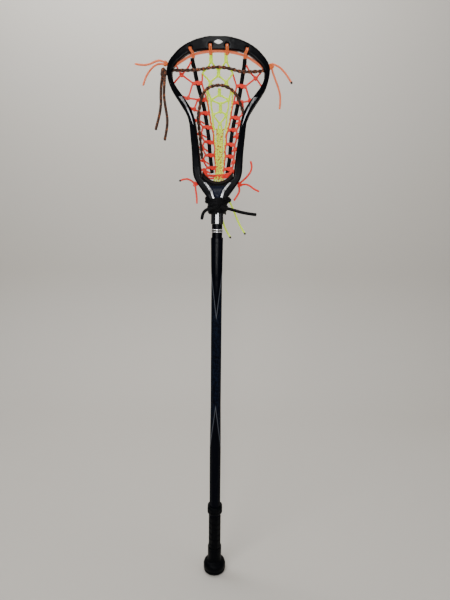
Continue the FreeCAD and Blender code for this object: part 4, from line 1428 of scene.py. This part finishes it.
class LACROSSE_OT_shaft(bpy.types.Operator):
    """Shaft tube, grips, tape and collar"""
    bl_idname = "lacrosse.shaft"
    bl_label = "Build shaft"

    def execute(self, context):
        looks = context.scene.lacrosse_shaft
        tube = sleeve(
            "shaft_skin", SHAFT_FOOT, SHAFT_TOP, lambda z: 0.0, -1.5, pitch=12, edge=0.4)
        finish_piece(tube, glossy_paint("shaft_paint", looks.paint), STICK, "shaft_tube",
                     slot="shaft_black")
        upper = sleeve(
            "upper_grip_sleeve", UPPER_GRIP_LOW, UPPER_GRIP_HIGH, self.upper_offset, 0.0, pitch=2.4,
            edge=0.3, raise_at=self.raised_end)
        finish_piece(upper, grip_finish("upper_grip_coat", looks.grip, UPPER_POINT, True), STICK,
                     "upper_grip", slot="grip_textured")
        lower = sleeve(
            "lower_grip_sleeve", LOWER_GRIP_LOW, LOWER_GRIP_HIGH, self.lower_offset, 0.0, pitch=3,
            edge=0.3)
        finish_piece(lower, grip_finish("lower_grip_coat", looks.grip, LOWER_POINT, False), STICK,
                     "lower_grip", slot="grip_textured")
        self.tape(looks)
        self.collar(looks)
        return {"FINISHED"}

    def raised_end(self, x, y, z):
        """The smooth end of the upper grip stands a little proud of its weave."""
        above = z - UPPER_POINT[0] - UPPER_POINT[1] * abs(x)
        t = min(1.0, max(0.0, above / 3 + 0.5))
        return 0.30 * (t * t * (3 - 2 * t))

    def upper_offset(self, z):
        return 0.6 + 0.9 * max(0.0, (z - 660) / 82)

    def lower_offset(self, z):
        return 1.7 - 1.1 * min(1.0, max(0.0, (z - 300) / 101))

    def tape(self, looks):
        """Wound tape, each turn lapping the one below."""
        pitch = looks.tape_pitch

        def lap(x, y, z):
            turn = (z / pitch + math.atan2(y, x) / TURN) % 1.0
            if turn >= TAPE_LAP_END:
                turn = 1 - (turn - TAPE_LAP_END) / (1 - TAPE_LAP_END)
            return TAPE_LAP * turn - 0.55

        tape = sleeve(
            "butt_tape", TAPE_LOW, TAPE_HIGH, lambda z: 2.95, 1.7, pitch=0.8, edge=0.7,
            raise_at=lap)
        finish_piece(tape, rubber_finish("wound_tape", looks.rubber, 0.0006), STICK, "butt_wrap",
                     slot="grip_wrap")

    def collar(self, looks):
        """Polished ring with a dark groove round its middle."""
        rings = [shaft_ring(0.0, COLLAR_PROFILE[0][0])]
        rings += [shaft_ring(offset, z, 1.9) for z, offset in COLLAR_PROFILE]
        rings.append(shaft_ring(0.0, COLLAR_PROFILE[-1][0]))
        ring = stack("collar_ring", rings, closed_inside=True)
        finish = Finish("collar_polish", Metallic=1.0)
        _, _, z = finish.place()
        groove = (z > COLLAR_GROOVE[0]) * (z < COLLAR_GROOVE[1])
        scuff = finish.noise(0.001, 4, stretch=(1, 1, 0.3)).ramp(0.55, 0.75)
        finish.feed(
            Base_Color=finish.mix(groove, rgba(looks.steel), (0.01, 0.01, 0.01, 1)),
            Roughness=scuff * 0.2 + 0.1 + groove * 0.4)
        finish_piece(ring, finish.material, STICK, "shaft_collar", slot="collar_metal")


# stop ring: heights, gap round the shaft's flats, and how far it stands out from them
RING_LOW, RING_HIGH = 154.5, 172.0
RING_BORE = 1.8
RING_SWELL = 4.3
RING_STEPS = 22


class LACROSSE_OT_stop_ring(bpy.types.Operator):
    """Rubber stop ring on the lower grip"""
    bl_idname = "lacrosse.stop_ring"
    bl_label = "Build stop ring"

    def execute(self, context):
        looks = context.scene.lacrosse_shaft
        middle, half = (RING_LOW + RING_HIGH) / 2, (RING_HIGH - RING_LOW) / 2
        rings = [shaft_ring(RING_BORE, RING_LOW + 0.6)]
        for step in range(RING_STEPS + 1):
            angle = math.pi * step / RING_STEPS
            z = middle - half * math.cos(angle)
            bulge = math.sin(angle) ** 0.55
            groove = 0.55 * math.exp(-((z - middle) / 1.1) ** 2)
            offset = RING_BORE + 0.3 + (RING_SWELL - 0.3) * bulge - groove
            rings.append(shaft_ring(offset, z, 2.6))
        rings.append(shaft_ring(RING_BORE, RING_HIGH - 0.6))
        ring = stack("stop_ring_rubber", rings, closed_inside=True)
        finish_piece(ring, rubber_finish("ring_rubber", looks.rubber), "stop_ring", "stop_ring",
                     slot="ring_rubber")
        return {"FINISHED"}


# end cap: radii of the foot, the knob and the neck, and the rounding between them
CAP_FOOT = 18.5
CAP_KNOB = 24
CAP_NECK = 14.8
CAP_SHOULDER = 8.8
CAP_FLOOR = 19


class LACROSSE_OT_end_cap(bpy.types.Operator):
    """Rubber end cap with its knob"""
    bl_idname = "lacrosse.end_cap"
    bl_label = "Build end cap"

    def execute(self, context):
        looks = context.scene.lacrosse_shaft
        foot = BUTT_FACE
        rings = [
            round_ring(0.4, foot + 0.35), round_ring(10, foot + 0.35), round_ring(11, foot),
            round_ring(18.0, foot)]
        for share in (0.15, 0.35, 0.6, 0.85, 1.0):
            angle = math.pi / 2 * share
            turn = CAP_KNOB - CAP_FOOT
            rings.append(
                round_ring(CAP_FOOT + turn * math.sin(angle), foot + turn * (1 - math.cos(angle))))
        for z, inset in ((20.6, 0), (21.2, 0.5), (22.0, 0.5), (22.6, 0), (28.6, 0)):
            rings.append(round_ring(CAP_KNOB - inset, z))
        for share in (0.1, 0.3, 0.5, 0.7, 0.85, 0.95):
            angle = math.pi / 2 * share
            rings.append(round_ring(
                CAP_KNOB - CAP_SHOULDER + CAP_SHOULDER * math.cos(angle),
                28.9 + CAP_SHOULDER * math.sin(angle)))
        rings += [round_ring(14.9, 39.5), round_ring(14.7, 50), round_ring(14.75, 64)]
        for z in (66.0, 68.6):
            rings += [
                round_ring(CAP_NECK, z), round_ring(CAP_NECK - 0.4, z + 0.4),
                round_ring(CAP_NECK - 0.4, z + 0.9), round_ring(CAP_NECK, z + 1.3)]
        rings += [
            round_ring(CAP_NECK, 71.3), round_ring(CAP_NECK - 0.4, 71.9),
            round_ring(CAP_NECK - 0.9, 72.0)]
        rings += [shaft_ring(0.35, 71.9)]
        rings += [shaft_ring(0.1, z) for z in (71.4, 40, CAP_FLOOR)]
        cap = stack("end_cap_rubber", rings, closed_inside=False)
        finish_piece(cap, rubber_finish("cap_rubber", looks.rubber), "end_cap", "end_cap",
                     slot="cap_rubber")
        return {"FINISHED"}


# ---- stage -------------------------------------------------------------------------------

class LACROSSE_OT_stage(bpy.types.Operator):
    """Floor, backdrop, soft lights and camera"""
    bl_idname = "lacrosse.stage"
    bl_label = "Build stage"

    def execute(self, context):
        looks = context.scene.lacrosse_stage
        self.backdrop(looks)
        power = looks.key_power
        self.light("key", (-1.1, -1.7, 2.1), (0, 0, 0.75), (1.3, 1.3), power)
        self.light("fill", (1.9, -1.2, 1.2), (0, 0, 0.6), (1.6, 1.6), power * 0.3)
        self.light("front", (-0.022, -1.0, 0.74), (-0.022, 0, 0.74), (0.075, 0.42), power * 0.11)
        self.light("wash", (-0.3, 0.35, 2.4), (0, 1.25, 0.9), (1.8, 0.6), power * 1.1)
        world = bpy.data.worlds.new("studio")
        world.use_nodes = True
        world.node_tree.nodes["Background"].inputs["Color"].default_value = (0.86, 0.87, 0.9, 1)
        world.node_tree.nodes["Background"].inputs["Strength"].default_value = 0.3
        context.scene.world = world
        self.camera(context)
        return {"FINISHED"}

    def backdrop(self, looks):
        """Floor that curves up into a wall behind."""
        half, bend, wall = 3.2, 0.5, 1.25
        profile = [(-2.6, 0.0), (0.0, 0.0), (wall - bend, 0.0)]
        for step in range(1, 13):
            angle = math.pi / 2 * step / 12
            profile.append((wall - bend + bend * math.sin(angle), bend * (1 - math.cos(angle))))
        profile.append((wall, 3.4))
        verts = [(x, y, z) for y, z in profile for x in (-half, half)]
        faces = [(2 * i, 2 * i + 1, 2 * i + 3, 2 * i + 2) for i in range(len(profile) - 1)]
        floor = new_piece("floor", verts, faces)
        finish = Finish("pale_floor", Roughness=0.85)
        grain = finish.noise(0.5, 3)
        finish.feed(Base_Color=finish.mix(grain * 0.3, rgba(looks.floor), shade(looks.floor, 0.9)))
        floor.data.materials.append(finish.material)

    def light(self, name, place, target, size, power):
        lamp = bpy.data.lights.new(name, "AREA")
        lamp.shape = "RECTANGLE"
        lamp.size, lamp.size_y = size
        lamp.energy = power
        holder = bpy.data.objects.new(name, lamp)
        holder.location = place
        holder.rotation_euler = (Vector(target) - Vector(place)).to_track_quat("-Z", "Y").to_euler()
        bpy.context.collection.objects.link(holder)

    def camera(self, context):
        """Held at arm's length and tipped down a little."""
        view = bpy.data.cameras.new("camera")
        view.sensor_fit = "VERTICAL"
        view.sensor_height = 36.0
        view.lens = 27.0
        view.clip_start = 0.02
        holder = bpy.data.objects.new("camera", view)
        pitch, roll = math.radians(11.1), math.radians(0.68)
        turn = Matrix.Rotation(math.pi / 2 - pitch, 4, "X") @ Matrix.Rotation(roll, 4, "Z")
        holder.matrix_world = Matrix.Translation((0.0166, -0.8664, 0.7778)) @ turn
        context.collection.objects.link(holder)
        context.scene.camera = holder


# ---- panel, registration and run ------------------------------------------------------------

OPERATORS = [
    LACROSSE_OT_stage, LACROSSE_OT_head, LACROSSE_OT_ball_stop, LACROSSE_OT_runners,
    LACROSSE_OT_centre_mesh, LACROSSE_OT_side_lacing, LACROSSE_OT_top_and_foot,
    LACROSSE_OT_shooting_strings, LACROSSE_OT_throat_lace, LACROSSE_OT_knots_and_tails,
    LACROSSE_OT_shaft, LACROSSE_OT_stop_ring, LACROSSE_OT_end_cap]


class LACROSSE_PT_panel(bpy.types.Panel):
    """Lists the sizes, the colours and the build steps"""
    bl_idname = "LACROSSE_PT_panel"
    bl_label = "Lacrosse stick"
    bl_space_type = "VIEW_3D"
    bl_region_type = "UI"
    bl_category = "Lacrosse"

    def draw(self, context):
        for key, group in GROUPS.items():
            box = self.layout.box()
            for name in group.__annotations__:
                box.prop(getattr(context.scene, key), name)
        for operator in OPERATORS:
            self.layout.operator(operator.bl_idname)


def register():
    for group in GROUPS.values():
        bpy.utils.register_class(group)
    for key, group in GROUPS.items():
        setattr(bpy.types.Scene, key, PointerProperty(type=group))
    for operator in OPERATORS:
        bpy.utils.register_class(operator)
    bpy.utils.register_class(LACROSSE_PT_panel)


def unregister():
    bpy.utils.unregister_class(LACROSSE_PT_panel)
    for operator in reversed(OPERATORS):
        bpy.utils.unregister_class(operator)
    for key, group in GROUPS.items():
        delattr(bpy.types.Scene, key)
        bpy.utils.unregister_class(group)


def main():
    register()
    for operator in OPERATORS:
        group, step = operator.bl_idname.split(".")
        getattr(getattr(bpy.ops, group), step)()
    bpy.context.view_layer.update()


if __name__ == "__main__":
    main()
